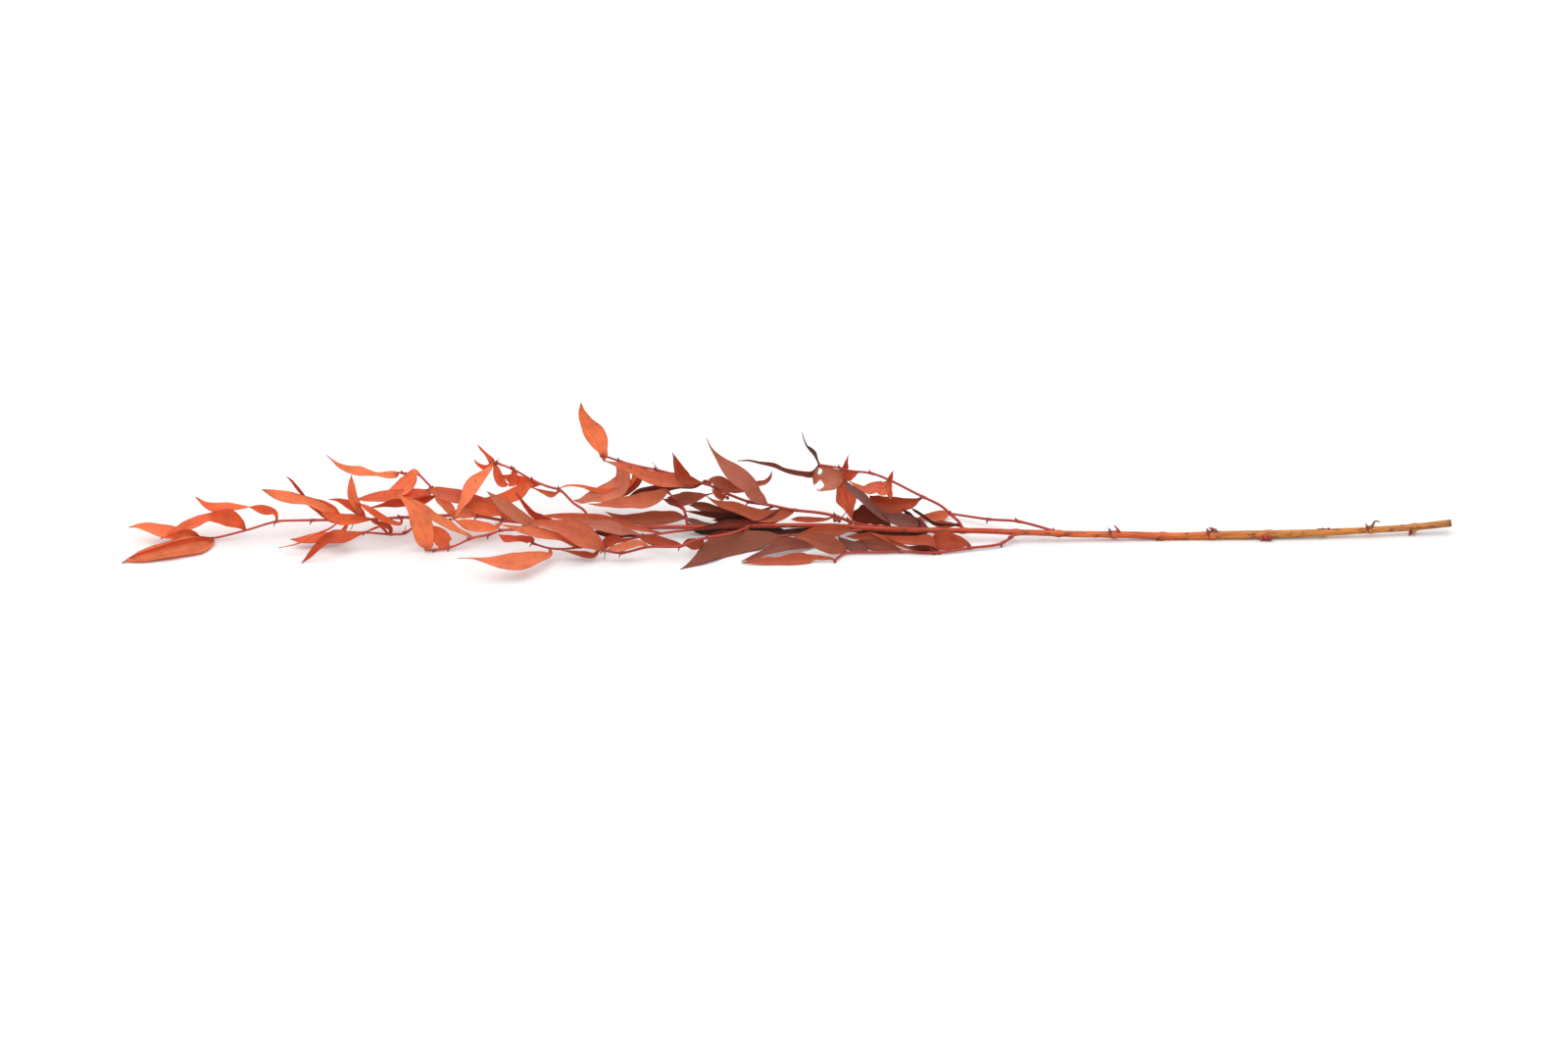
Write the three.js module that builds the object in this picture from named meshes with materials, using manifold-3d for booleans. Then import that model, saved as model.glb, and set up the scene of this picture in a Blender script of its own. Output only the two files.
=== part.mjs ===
// A preserved, dyed stem of soft ruscus, lying on a flat surface: a woody stem, bare for its
// lower half, that runs out into a leafy leading shoot and sends off twelve leafy side shoots.
// Units are millimetres, +Z is up and the surface is Z = 0. The cut end points along +X and the
// tip along -X, and the origin is on the surface, under the middle of the object.
import * as THREE from "three";
import { mergeVertices } from "three/addons/utils/BufferGeometryUtils.js";
import Module from "manifold-3d";

const wasm = await Module();
wasm.setup();

// Driving dimensions
const BLADE_THICKNESS = 0.8;
const BLADE_FOLD = 0.3; // how far the midrib lies behind the margins, as a share of half the width
const PETIOLE_WIDTH = 1.3;
const TIP_WIDTH = 0.8;
const JOINT_GAP = 0.3; // between the foot of a shoot and the stem that it grew from
const NODE_SWELL = 0.45; // how much the woody stem's radius grows at a node
const NODE_REACH = 2.5; // how far along the stem that swelling fades
const BRACT_LEAST = 2.2; // length of a bract on the thinnest twig
const BRACT_GROWTH = 1.6; // how much longer it is for each millimetre of the twig's radius
const BRACT_FOOT = 0.75; // radius of its foot, as a share of the twig's radius
const BRACT_FORWARD = 0.8; // how far it leans along the twig
const BRACT_FRONT = 0.3; // how far it leans to the front

// How coarse the faces are
const STEM_SIDES = 10;
const TWIG_SIDES = 5;
const BRACT_SIDES = 5;
const STEM_STEP = 22; // length of one straight stretch
const TWIG_STEP = 12;
const NODE_RING = 4; // a node has a ring of points at its middle and this far to each side
const CLOSEST_RINGS = 0.003; // as a share of the stem's length
const HALVINGS = 24; // how often a search along a curve halves its range
const BLADE_STATIONS = [0, 0.14, 0.42, 0.72, 1];
const TWISTED_STATIONS = [0, 0.12, 0.34, 0.56, 0.8, 1];

// A blade whose width is one number has two powers for its outline: it is widest at
// first / (first + second) of its length, and a second power over 1 draws out its point
const OUTLINE_POWERS = [0.8, 1.1];
// A blade turned edge-on shows this share of its width at least
const LEAST_FACING = 0.4;

// Every place is given as [along, up, back]: along the stem, up as the eye sees it from
// SIGHT_ELEVATION over the horizon in front of the stem, and how far back from the stem's line.
const SIGHT_ELEVATION = THREE.MathUtils.degToRad(25);
const SIGHT_RISE = Math.cos(SIGHT_ELEVATION);
const SIGHT_SLOPE = Math.sin(SIGHT_ELEVATION);
const TO_EYE = new THREE.Vector3(0, -SIGHT_RISE, SIGHT_SLOPE);
const STEM_BACK = 8; // the stem's line lies this far behind the origin
const GROUND = [1200, 400, 40]; // a block under the surface, larger than the object

// Round bites that insects took from a blade, as [place, radius] for each
const BITES = {
  side_shoot_03: [
    [[22.5, 46.3, 18.5], 1.7],
    [[22.8, 36.9, 18.5], 2.4],
    [[20.3, 35.8, 18.5], 1.6],
  ],
};
const BITE_DEPTH = 12;
const BITE_SIDES = 10;

const ROUGHNESS = 0.62;
const DYES = {
  ochre: "#b5713c",
  orange: "#dd6a3c",
  rust: "#c4553a",
  terracotta: "#a4523f",
};

function place([along, up, back]) {
  return new THREE.Vector3(along, back + STEM_BACK, (up - back * SIGHT_SLOPE) / SIGHT_RISE);
}

// A blade grows at "at" along its shoot's course, and "points" lead its midrib to the tip.
// "width" is its greatest width, or the widths that the eye sees at each of the points before the
// tip. "turn" turns it about its midrib, in degrees from facing the eye, and "twist" is added to
// that turn round "flip" of its length, over "sweep" of it.
function blade(at, width, turn, points, options = {}) {
  const usual = { twist: 0, flip: 0.5, sweep: 0.3, shape: OUTLINE_POWERS };
  return { at, width, turn, points, ...usual, ...options };
}

const WOODY_STEM = {
  dye: "ochre",
  course: [
    [452.3, 11, 10], [425, 8, 8], [398, 6.3, 5], [365, 4.5, 2.5], [332, 3.4, 1], [292, 2.75, 0.5],
    [265, 1.95, 0], [232, 3, -1], [198, 3.4, -2], [172, 4.3, -3], [156, 4.7, -3], [132, 5.7, -2],
    [98, 6, 0], [65, 7, 2], [32, 9, 4], [-2, 9.3, 5], [-28, 8.7, 5], [-68, 8.3, 4], [-102, 8, 3],
    [-135, 8.7, 2],
  ],
  radii: [
    [452, 2.35], [398, 2], [345, 2.5], [292, 2.65], [232, 2.15], [198, 2], [132, 1.7], [-2, 1.4],
    [-135, 1.1],
  ],
  nodes: [427, 398, 365, 328, 290, 256, 223, 185, 156, 120, 102],
  bracts: [[427, -1], [398, 1], [328, -0.5], [290, 1], [256, -1], [223, 1]],
};

const SHOOTS = {
  leading_shoot: {
    dye: "orange",
    radii: [1.1, 0.6],
    course: [
      [-135.5, 8.7, 2], [-162, 10, 2], [-192, 12.7, 3], [-210, 15.6, 5], [-235, 16, 6], [-262, 14.7, 6],
      [-288, 13.3, 5], [-313, 13, 4], [-335, 12.7, 3], [-347, 12, 2], [-368, 6, 0], [-390, 0.9, -2],
      [-400, 1.7, -3],
    ],
    bracts: [[-192, 1], [-210, -1], [-262, 1], [-322, -1], [-347, -1]],
    blades: [
      blade(
        -166, [5.8, 8.3, 9.3, 7.1, 4], 5,
        [
          [-171.7, 10.2, -1], [-180.3, 14.5, -3], [-188.7, 20.2, -4], [-194.8, 24.9, -4.5],
          [-199.3, 28.7, -4.5], [-203.9, 32.7, -5],
        ],
      ),
      blade(
        -150, [5.1, 4, 3, 1.7], 40,
        [[-166.7, 14.3, 4.7], [-172.5, 17, 5.6], [-177, 22, 6.6], [-181, 27.5, 7.8], [-184.5, 32, 9]],
      ),
      blade(
        -187, [5.5, 6.1, 7.7, 9.7, 8.8, 6.1], 25,
        [
          [-197, 23.3, 6.5], [-205, 25, 7.2], [-214.7, 27.5, 7.5], [-224, 29.2, 7.5], [-233, 31, 7.5],
          [-239, 32.7, 8], [-245.7, 34, 8.5],
        ],
      ),
      blade(
        -190, [6.1, 8.9, 8.6, 5.1], 20,
        [[-194.3, 18.3, 3], [-202.7, 20, 3], [-210.7, 21.2, 3.6], [-218, 22.3, 4.4], [-224.3, 23, 5]],
      ),
      blade(
        -209, [4.2, 7.3, 7], 10,
        [[-211.7, 16.7, 3.7], [-217, 18, 1.9], [-222.7, 17.2, 1.5], [-227, 12.7, 1]],
      ),
      blade(
        -193, [3.3, 6.3, 7.6, 6], -35,
        [[-197.7, 8.2, 1], [-204, 8.3, -1.1], [-211.7, 9.2, -2.7], [-219.2, 10.3, -3.9], [-226, 13, -5]],
      ),
      blade(
        -262, [2.3, 3.4, 4.6, 4.4, 2.7], -30,
        [
          [-262.3, 10.8, 3.2], [-269, 11.8, 0.4], [-275.7, 14.8, -0.7], [-282, 19.1, -1.4],
          [-287.3, 22.3, -1.7], [-291, 24.5, -2],
        ],
      ),
      blade(
        -282, [3.7, 6.9, 7.7, 5.5], 12,
        [
          [-287, 13.5, 3.1], [-294.3, 13.6, -0.1], [-303.3, 13.5, -3.2], [-311, 15.7, -4.2],
          [-317.7, 19, -5],
        ],
      ),
      blade(
        -286, [5.4, 6.4, 4, 1.9], 35,
        [
          [-290.3, 18.2, 3.9], [-296, 22.8, 2.5], [-301.7, 25.5, 1.7], [-306.2, 26.8, 1.4],
          [-311.7, 27.1, 1],
        ],
      ),
      blade(
        -290, [6, 6.5, 5.7, 3.5], -25,
        [
          [-292.3, 22.8, 1.6], [-294.9, 28, -0.4], [-295.9, 33.7, -1.6], [-296.2, 38.8, -2.3],
          [-295.8, 43.7, -3],
        ],
      ),
      blade(
        -296, [5.4, 6, 5.4, 7.9, 6.7, 3.7], -30,
        [
          [-305.7, 15.7, 5.3], [-316.3, 22, 6.1], [-326.7, 26.1, 7.2], [-336, 28, 8.1], [-345.7, 30.1, 9],
          [-352.3, 32.1, 9.6], [-357, 33.8, 10],
        ],
      ),
      blade(
        -301, [9.6, 10.6, 7.5, 4], 10,
        [[-307, 15.3, 6.2], [-313.7, 20.2, 8.3], [-321, 24, 9.7], [-327.7, 27.5, 10.9], [-333, 31, 12]],
      ),
      blade(
        -310, [1.5, 2.1, 2.1, 1.4], 60,
        [
          [-322.3, 21.7, 10.6], [-329.7, 31, 14.4], [-333.6, 35.8, 15], [-336.8, 39.8, 15.6],
          [-340.1, 42.5, 16],
        ],
      ),
      blade(
        -297, [4.7, 6.5, 6.2, 3.9], -40,
        [
          [-305, 2.3, -7.6], [-315.7, 1.8, -11.4], [-323.3, 0.3, -12.6], [-331, -0.6, -13.4],
          [-337.5, 0, -14],
        ],
      ),
      blade(-303, 4, 75, [[-311, 7, -9], [-321.7, 2.7, -16], [-333, -3.2, -22], [-345.7, -6, -23]]),
      blade(
        -347, [2.4, 4.6, 6.3, 4, 0.8, 3.3, 5.5, 6.1, 3.9, 1.9], 40,
        [
          [-347, 16, 1.4], [-349.2, 18.7, 1], [-355.3, 19.9, 1.6], [-360.8, 21.1, 2.2], [-365, 21.7, 2.7],
          [-371.7, 21.8, 3.6], [-380, 22.1, 4.6], [-389.7, 21.7, 5.9], [-395.7, 23.8, 6.8],
          [-399.2, 26.5, 7.5], [-402.3, 28.8, 8],
        ],
        { twist: 100, flip: 0.4, sweep: 0.16 },
      ),
      blade(
        -368, [7, 11.5, 8.7, 5.2, 7.3, 6.7, 4.3, 2], 38,
        [
          [-371.8, 10.2, 0.8], [-379.3, 14.2, 1], [-387.3, 15.3, 0.1], [-393.7, 14.8, -0.7],
          [-400.7, 12.2, -1.7], [-408.3, 9.3, -2.7], [-415.3, 5.7, -3.6], [-421.3, 2.9, -4.4],
          [-426, 0.1, -5],
        ],
        { twist: -76, flip: 0.42, sweep: 0.12 },
      ),
      blade(
        -399, [5.5, 8.9, 8.8, 6, 2.7], -30,
        [
          [-409, 3.3, -2.7], [-417.3, 4.4, -3.8], [-426.7, 6.2, -5], [-435.3, 8.3, -5],
          [-441.8, 8.9, -5.4], [-447.7, 8, -6],
        ],
      ),
      blade(
        -399.5, [3.3, 5.5, 4.7, 2.1], 10,
        [[-402, 3, -4], [-406.3, 3.9, -6], [-413, 3.4, -8], [-419.7, 2.1, -10], [-425, 0.5, -12]],
      ),
      blade(
        -390, [5.8, 12.4, 11.8, 10.5, 6.9, 2.3], -45,
        [
          [-392.5, -2.5, -7.7], [-402, -4.8, -17.8], [-414, -6.9, -23.7], [-427.3, -10.2, -29.7],
          [-440, -12.8, -34.7], [-447.7, -14.2, -37.3], [-452.3, -16.3, -39],
        ],
      ),
    ],
  },
  // a long thin twig that runs back, with one blade at its end
  side_shoot_01: {
    dye: "terracotta",
    radii: [0.9, 0.7],
    course: [[185, 4.2, -2.5], [178, 6.7, 0], [158, 12, 8], [138, 13.5, 20], [112, 17.3, 33.5]],
    bracts: [[183, 1], [158, 1], [138, -1]],
    blades: [
      blade(
        113, [4, 7.3, 6.3, 4.5, 3.9, 4.4], -8,
        [
          [110, 17.6, 32.1], [105.7, 16.2, 30.8], [99, 15.1, 28.9], [93.7, 14.5, 27.3], [89, 12.5, 25.1],
          [83.3, 10.8, 22.7], [77, 9.7, 20],
        ],
      ),
    ],
  },
  // the low shoot in front
  side_shoot_02: {
    dye: "terracotta",
    radii: [0.9, 0.7],
    course: [
      [156, 4, -4], [152, 0.7, -8], [145, -3.3, -13], [125, -6, -19], [102, -9, -24.5], [78, -8.3, -23],
      [65, -8.7, -24], [40, -9.5, -26], [35, -12.5, -33], [32.5, -14.7, -38],
    ],
    bracts: [[153, 1], [147, -1], [125, 1], [102, -1], [78, 1]],
    blades: [
      blade(
        126, [3.8, 9, 12.3, 12.4, 10.3], 15,
        [
          [122.7, -3.3, -18], [117.3, -2.3, -17], [111.3, -2.3, -16.1], [105, -3, -16.7],
          [99.7, -3.4, -17.2], [92.3, -2, -18],
        ],
      ),
      blade(
        102, [8.8, 6.7, 5.8, 5.2, 2.9, 1.6], -10,
        [
          [96.3, -1.7, -21], [88, -0.9, -18], [80, -0.6, -15.2], [72.7, -0.1, -13.3], [65.7, 1.5, -12],
          [60.3, 3.3, -10.9], [55.7, 5.1, -10],
        ],
      ),
      blade(
        104, [3, 4.1, 1.8], 50,
        [[98.3, -6.5, -23.7], [92, -6, -23.5], [86.7, -5.5, -23.2], [81.7, -5, -23]],
      ),
      blade(
        92, [4.7, 4.6, 3.4, 1.5], 10,
        [[57.3, 2, -9.1], [50.7, 1.8, -9.4], [46, 1.8, -9.7], [43, 1.9, -9.9], [40.7, 2, -10]],
      ),
      blade(
        80, [3.4, 7.3, 7.9, 6.5, 2.8], 15,
        [
          [74.7, -6.7, -22.7], [67.7, -4.8, -22.1], [60, -3.9, -21.4], [54.3, -3.2, -20.8],
          [50.3, -1.8, -20.4], [46.7, -1.3, -20],
        ],
      ),
      blade(
        56, [4.8, 7.1, 6.8, 5.2], 20,
        [[51.7, -6.7, -23.9], [47, -5.3, -23.2], [42.3, -4, -21.7], [38.3, -1.8, -20], [35, 2.3, -18]],
      ),
      blade(
        41, [5.2, 9.5, 12.5, 10.9, 6.3, 2.9], -10,
        [
          [38.8, -7.3, -26.6], [34.7, -5.7, -27.6], [29, -3.6, -28.9], [22, -1.2, -29], [15, 0.9, -28.7],
          [8, 1.9, -26.7], [1.7, 2.7, -25],
        ],
      ),
      blade(
        33, [1.9, 3, 3.7, 7.6, 8.1, 5.4, 5.1, 2.8], -15,
        [
          [30.3, -13.3, -36.9], [24, -12.7, -36.7], [19, -12.3, -36.5], [13.3, -13.6, -37.6],
          [3, -14, -39.8], [-6.7, -14.9, -40.5], [-16.3, -14.8, -41], [-24.3, -15.3, -41],
          [-30.3, -16.5, -41],
        ],
      ),
    ],
  },
  // the arching shoot behind, whose blades hang
  side_shoot_03: {
    dye: "rust",
    radii: [0.9, 0.6],
    course: [
      [120, 7.2, -0.5], [117, 12, 1], [112, 16.7, 3], [105, 22.7, 6], [93, 28.7, 10], [85, 32.7, 12],
      [72, 39.3, 15], [58, 44.7, 18], [42, 46.7, 20], [36, 48.5, 21], [22, 50.7, 23],
    ],
    bracts: [[112, 1], [93, -1], [71, 1], [58, 1], [37, 1]],
    blades: [
      blade(
        118, [1.9, 4, 4.9, 2], -15,
        [[114.7, 9.9, 2.7], [110.7, 9.8, 5.3], [105.3, 10.1, 8.1], [99.7, 10.7, 10.3], [95.7, 12.7, 12]],
      ),
      blade(
        119, [1.1, 1.8, 1.7, 1.8, 1.8, 1.5], 60,
        [
          [110.2, 9.8, 4], [103.5, 10.1, 6.7], [99, 11.5, 8.4], [95.1, 14.2, 9.6], [91, 17.2, 10.6],
          [87.4, 19.4, 11.4], [84.9, 21.1, 12],
        ],
      ),
      blade(
        93, [2.4, 6.1, 8.6, 12.6, 11.8, 10.9, 8.6], 20,
        [
          [89.8, 26.9, 10.6], [86, 25.1, 11.3], [80.3, 23.7, 12.2], [74, 22.9, 13.1], [68, 22.8, 14],
          [63, 24.4, 14.8], [59.7, 26.6, 15.4], [56.5, 29.6, 16],
        ],
      ),
      blade(
        70, [9.9, 7.8, 7.5, 3.9, 2.6], -20,
        [
          [66, 35, 14.9], [61.3, 35.3, 14.5], [56.2, 34.3, 14.1], [52.1, 34.3, 14.2], [48, 36.3, 14.5],
          [41.7, 39.9, 15],
        ],
      ),
      blade(71, [3.2, 2.1], -20, [[70.8, 41.2, 15.1], [71.4, 43.7, 15], [72.5, 46.5, 15]]),
      blade(
        71, [3.2, 3.8, 3.7], 10,
        [[70.3, 37.5, 14.6], [69.9, 33.3, 13.5], [70.5, 29.8, 13.2], [71.3, 26.7, 13]],
      ),
      blade(
        50, [2, 5, 6.7, 6.5], 10,
        [[47.8, 45.3, 18.7], [45.3, 44.2, 18.2], [42.8, 43.3, 18], [40.7, 41.5, 18], [39.3, 38.7, 18]],
      ),
      blade(
        41, [10.4, 15.7, 17.2, 17, 9.7], -15,
        [
          [35.7, 43.2, 19.6], [31.3, 41.7, 19.3], [26.7, 41.4, 18.9], [22.2, 41.8, 18.5],
          [18.8, 42.5, 18.1], [17.3, 42.7, 18],
        ],
      ),
      blade(
        39, [4, 2.5, 1.1], -20,
        [[40, 48.7, 19.9], [40.5, 51.5, 18.9], [41.4, 54.7, 18.4], [41.9, 57.3, 18]],
      ),
      blade(
        37, [2.7, 8.6, 13.7, 13, 7.2, 3.3], 0,
        [
          [37.7, 44, 20.2], [38.4, 36.7, 19], [40.2, 29.2, 18.6], [41.2, 25.8, 18.5], [42.6, 20.8, 18.3],
          [44.3, 15.8, 18.1], [46.2, 11.5, 18],
        ],
      ),
      blade(
        22.5, [4.2, 3.6, 3.3, 2.7, 3, 1.7, 1.1], 45,
        [
          [17.5, 44.2, 22.1], [11.3, 44.4, 21.4], [4.7, 45.5, 20.7], [-2, 47.3, 20], [-8.5, 50.3, 19.1],
          [-18, 51.9, 18], [-25.7, 53.5, 18], [-33.7, 53.2, 18],
        ],
      ),
      blade(
        22.3, [1.1, 1.7, 2.7, 2.5, 1.1, 0.7], 40,
        [
          [21.7, 52, 23], [20.3, 55.3, 23.4], [19, 58.4, 24.1], [16.4, 61.1, 24.8], [13.9, 63.4, 25.5],
          [11.9, 67.8, 26.3], [10.7, 72.5, 27],
        ],
      ),
    ],
  },
  // the longest shoot, which climbs from the stem towards the tip
  side_shoot_04: {
    dye: "terracotta",
    radii: [1.1, 0.6],
    course: [
      [102, 6.6, 2], [92, 7, 4.5], [68, 8, 6], [55, 9.3, 6], [48, 10.7, 7], [40, 13.3, 9], [32, 16, 11],
      [22, 18, 13], [4, 20, 16], [-12, 23.3, 18], [-25, 25.3, 20], [-38, 30, 23], [-54, 37.3, 26],
      [-68, 40.7, 29], [-80, 45, 32], [-88, 47, 34], [-102, 50, 37], [-114, 53.3, 40], [-122, 56, 42],
      [-126, 57.3, 43],
    ],
    bracts: [[43, 1], [34, 1], [6, -1], [-25, -1], [-40, -1], [-55, 1], [-88, 1], [-113, 1]],
    blades: [
      blade(
        97, [8.1, 9.8, 5.9, 5.2, 5.5, 6.3, 5.8, 3.6], 5,
        [
          [90.3, 9.5, 5], [79.3, 12.7, 7], [68.7, 14.8, 7], [60.7, 19.5, 7], [55.7, 24.2, 7],
          [51.7, 28.7, 7.4], [46.3, 32.4, 8.3], [42, 36.5, 9.2], [38.3, 41, 10],
        ],
      ),
      blade(
        90, [3.8, 3.6, 3.1], 45,
        [[89, 11, 6.7], [85.5, 14.3, 9.1], [82.7, 17.2, 9.9], [79, 20.3, 11]],
      ),
      blade(
        71, [6, 10.2, 12.3, 10.1], 40,
        [[66.7, 12.2, 8], [58.7, 15.2, 9.9], [51.7, 17, 10.6], [47.7, 18.3, 10.9], [46, 19.3, 11]],
      ),
      blade(
        33, [1.9, 3.3, 4, 3.3], 0,
        [[27, 13.6, 11.5], [21.3, 13.3, 12.1], [14, 13.3, 12.4], [7.3, 13.6, 12.8], [2.7, 13.3, 13]],
      ),
      blade(
        5, [3.9, 7.5, 9.1, 8.9, 7.5, 7.2, 5, 2.1], -20,
        [
          [2, 18.2, 14.9], [-4, 16.7, 13.1], [-11.7, 15.7, 11.5], [-20, 16.3, 10.3], [-27.7, 19, 10],
          [-36, 22.1, 10.1], [-43.3, 23.5, 10.8], [-49.5, 25.9, 11.4], [-54.7, 29.5, 12],
        ],
      ),
      blade(
        5, [2.1, 3.9, 6.6, 6], 40,
        [[-8.7, 11.7, 17], [-19, 11.5, 16], [-30.7, 13.5, 14.5], [-41.7, 13, 13.5], [-50.3, 13, 13]],
      ),
      blade(
        -3, [3.4, 4.2, 4.2, 3.6, 2.1], 10,
        [
          [-18.7, 11, 7.2], [-30.3, 11.3, 1.5], [-41, 11, -2.2], [-50.3, 8.7, -4.3], [-59.3, 7, -6.2],
          [-68.3, 5.7, -8],
        ],
      ),
      blade(
        0, [4.7, 5.2, 4, 2.3], 40,
        [[-28.3, 15, 15.6], [-41, 15.5, 16.9], [-52.3, 16.9, 18.1], [-61.3, 18.1, 19.1], [-69, 19.1, 20]],
      ),
      blade(
        -8, [4.1, 4.7, 5.8, 6.5, 4.7], 20,
        [
          [-27.3, 16, 18.2], [-38.7, 17.7, 19.3], [-47, 19.5, 20.2], [-55.7, 21.8, 21], [-61.3, 23, 21.5],
          [-66.3, 23, 22],
        ],
      ),
      blade(
        -13, [6.6, 9.8, 11.1, 13, 11.3, 7, 3.1, 1.3], -20,
        [
          [-16.7, 26.7, 17.7], [-21.2, 30.3, 17.2], [-25.5, 36.7, 17], [-31.5, 41.5, 17],
          [-37.5, 46.9, 17.9], [-43, 51.7, 18.9], [-47.9, 57.3, 20.1], [-51.3, 62, 21.1], [-54.5, 69, 23],
        ],
      ),
      blade(
        -45, [1.2, 4.9, 8.4, 9.3, 4.1], 5,
        [
          [-54, 30.2, 27.8], [-59, 29.3, 29.5], [-65.3, 28.2, 31.5], [-71.7, 27.3, 33.3],
          [-76.7, 28.3, 34.7], [-81.7, 28.3, 36],
        ],
      ),
      blade(-51, [4.3, 4.8], 0, [[-42.3, 28, 20.9], [-46.7, 30.4, 20], [-51, 34, 19]]),
      blade(
        -54, [3.7, 8.7, 7.6, 5.4, 4.7, 4, 3.2, 2.2], 10,
        [
          [-51.3, 39.8, 26], [-46, 39, 26], [-40.3, 36.1, 26.5], [-34, 34, 27.4], [-26.7, 35, 28.5],
          [-19.8, 37.7, 29.6], [-14.5, 38.8, 30.5], [-11.3, 41.9, 31.2], [-9.9, 46.3, 32],
        ],
      ),
      blade(
        -57, [4.3, 4.3, 5.3, 5.4, 4.7], 50,
        [
          [-64.3, 36.5, 29.5], [-73.7, 36.5, 32], [-83.7, 34.7, 33.8], [-92.7, 33.3, 35.3],
          [-100, 32, 36.6], [-107.7, 28.7, 38],
        ],
      ),
      blade(
        -58, [4.7, 9.2, 7.4, 4.5, 1.8], 0,
        [
          [-63.8, 39.2, 24.2], [-69.8, 42, 21.4], [-72.9, 47.2, 19.3], [-75, 52.2, 18.6],
          [-76.3, 56.1, 18.3], [-77.9, 59.2, 18],
        ],
      ),
      blade(
        -58, [7.3, 10, 9.8, 8.4, 6.6, 5.6, 2.5], -22,
        [
          [-64.3, 39, 25.8], [-75, 40, 24], [-85, 40.5, 22.3], [-95, 43.3, 20.8], [-104.7, 47.5, 20.2],
          [-111.7, 49.7, 20], [-117.3, 51.4, 20], [-125, 53.5, 20],
        ],
      ),
      blade(
        -98, [3.6, 3, 3.3, 2.1, 1.2, 1], 25,
        [
          [-109, 35.7, 39.2], [-121, 32.7, 37.9], [-131.7, 33.8, 37.4], [-138, 35.8, 37.1],
          [-145.7, 36.6, 36.7], [-151, 36, 36.3], [-155.7, 33.9, 36],
        ],
      ),
      blade(
        -106, [7.2, 7, 4.7, 2.5], 10,
        [[-101, 45.3, 42.4], [-102, 40, 43], [-104.8, 35.1, 42.8], [-108.5, 31.2, 42.5], [-115, 28, 42]],
      ),
      blade(
        -115, [5.7, 8.8, 11.1, 13.6, 12.4, 7.3, 3.7], -25,
        [
          [-113.2, 50.7, 39.9], [-111.4, 45.3, 39.2], [-111.5, 40, 38.2], [-115.7, 34.6, 36.9],
          [-124, 31.2, 36.3], [-133, 28.8, 35.7], [-140, 26, 35.3], [-145, 26.5, 35],
        ],
      ),
      blade(
        -125, [5.3, 6.4, 11.4, 13.7, 11.8, 8.1, 4.8, 2.5], -32,
        [
          [-124.3, 55.5, 43], [-124.8, 59.7, 43.7], [-126.7, 65.2, 44.9], [-129.5, 70.3, 46.3],
          [-133.6, 75.6, 47.9], [-137.1, 81.2, 49.7], [-139.1, 86.3, 51.2], [-139.6, 89.7, 52.1],
          [-139.8, 93, 53],
        ],
      ),
      blade(
        100.5, [3.3, 4.7, 4.7, 4.4], -20,
        [[91.7, 4, 3.8], [79.7, 3.3, 4.2], [66.7, 3.7, 4.5], [56.7, 4.2, 4.8], [43.7, 5.3, 5.5]],
      ),
    ],
  },
  // a short twig in front of the stem
  side_shoot_05: {
    dye: "terracotta",
    radii: [0.9, 0.7],
    course: [[50, 6.2, -0.5], [32, 4.7, -6], [12, 3.3, -9], [-5, 2, -12]],
    bracts: [[32, 1], [12, -1]],
    blades: [
      blade(
        46, [4.2, 8.2, 8.9, 7.8, 4, 1.5], -5,
        [
          [40.3, 6.3, -5], [35.3, 6.1, -7.8], [29, 5.8, -11.4], [21.3, 5.2, -12.5], [13, 4, -13.1],
          [7, 2.9, -13.6], [1.7, 3, -14],
        ],
      ),
      blade(
        27, [5.8, 7.2, 9.4, 8.8, 4.5, 3.2], -22,
        [
          [17.7, -2.2, -13.2], [9.3, -2.9, -17.8], [0.7, -3, -21.9], [-6.3, -4.7, -24.7],
          [-14.3, -8.9, -28.5], [-22, -11.8, -32.9], [-31, -15.3, -38],
        ],
      ),
      blade(
        -4, [8, 13.2, 16.5, 16, 13.8, 7.7, 3.3], -30,
        [
          [-11.3, 1.3, -12.3], [-20.7, -0.5, -13], [-31, -2.5, -15], [-41.3, -5.1, -20.8],
          [-51.3, -8.2, -29.2], [-59.3, -13.7, -38.7], [-66, -17.7, -44.3], [-72.3, -21, -49],
        ],
      ),
      blade(
        49, [3, 5, 6, 5.4, 3.7], 10,
        [
          [41.7, 6.2, -1.5], [30.3, 5.8, -2], [18.3, 5, -2.5], [6, 4.7, -2.5], [-2.7, 4.5, -2.5],
          [-9.7, 4, -2.5],
        ],
      ),
    ],
  },
  // the long shoot in front
  side_shoot_06: {
    dye: "rust",
    radii: [1, 0.6],
    course: [
      [-26, 7.6, 2.5], [-29, 6.8, -6], [-38, 3.6, -19], [-52, 1.3, -27], [-62, -0.7, -30],
      [-72, -4.7, -32], [-94, -5.3, -31], [-112, -9.3, -33], [-122, -8, -33], [-133, -5, -30],
      [-152, -6.7, -31], [-162, -6, -31], [-173, -2.7, -28],
    ],
    bracts: [[-53, 1], [-72, -1], [-112, -1], [-124, -1], [-140, 1], [-172, -1]],
    blades: [
      blade(
        -28, [3.4, 4.4, 3.4], 20,
        [[-35.3, 4.3, -3.1], [-42, 3.8, -3.2], [-48, 3.3, -3.6], [-53.7, 1.7, -4]],
      ),
      blade(
        -57, [5.1, 7.9, 5.7], 15,
        [[-58.5, -2.8, -26], [-62.7, -3.3, -22.9], [-67.2, -2.8, -22.4], [-71.7, -4.3, -23]],
      ),
      blade(
        -71, [3.7, 6, 7.5, 5.5], 15,
        [
          [-75.3, -3.2, -29.5], [-82, -2.3, -26.1], [-89.3, -0.9, -23.2], [-95.7, 0.4, -21.6],
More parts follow.
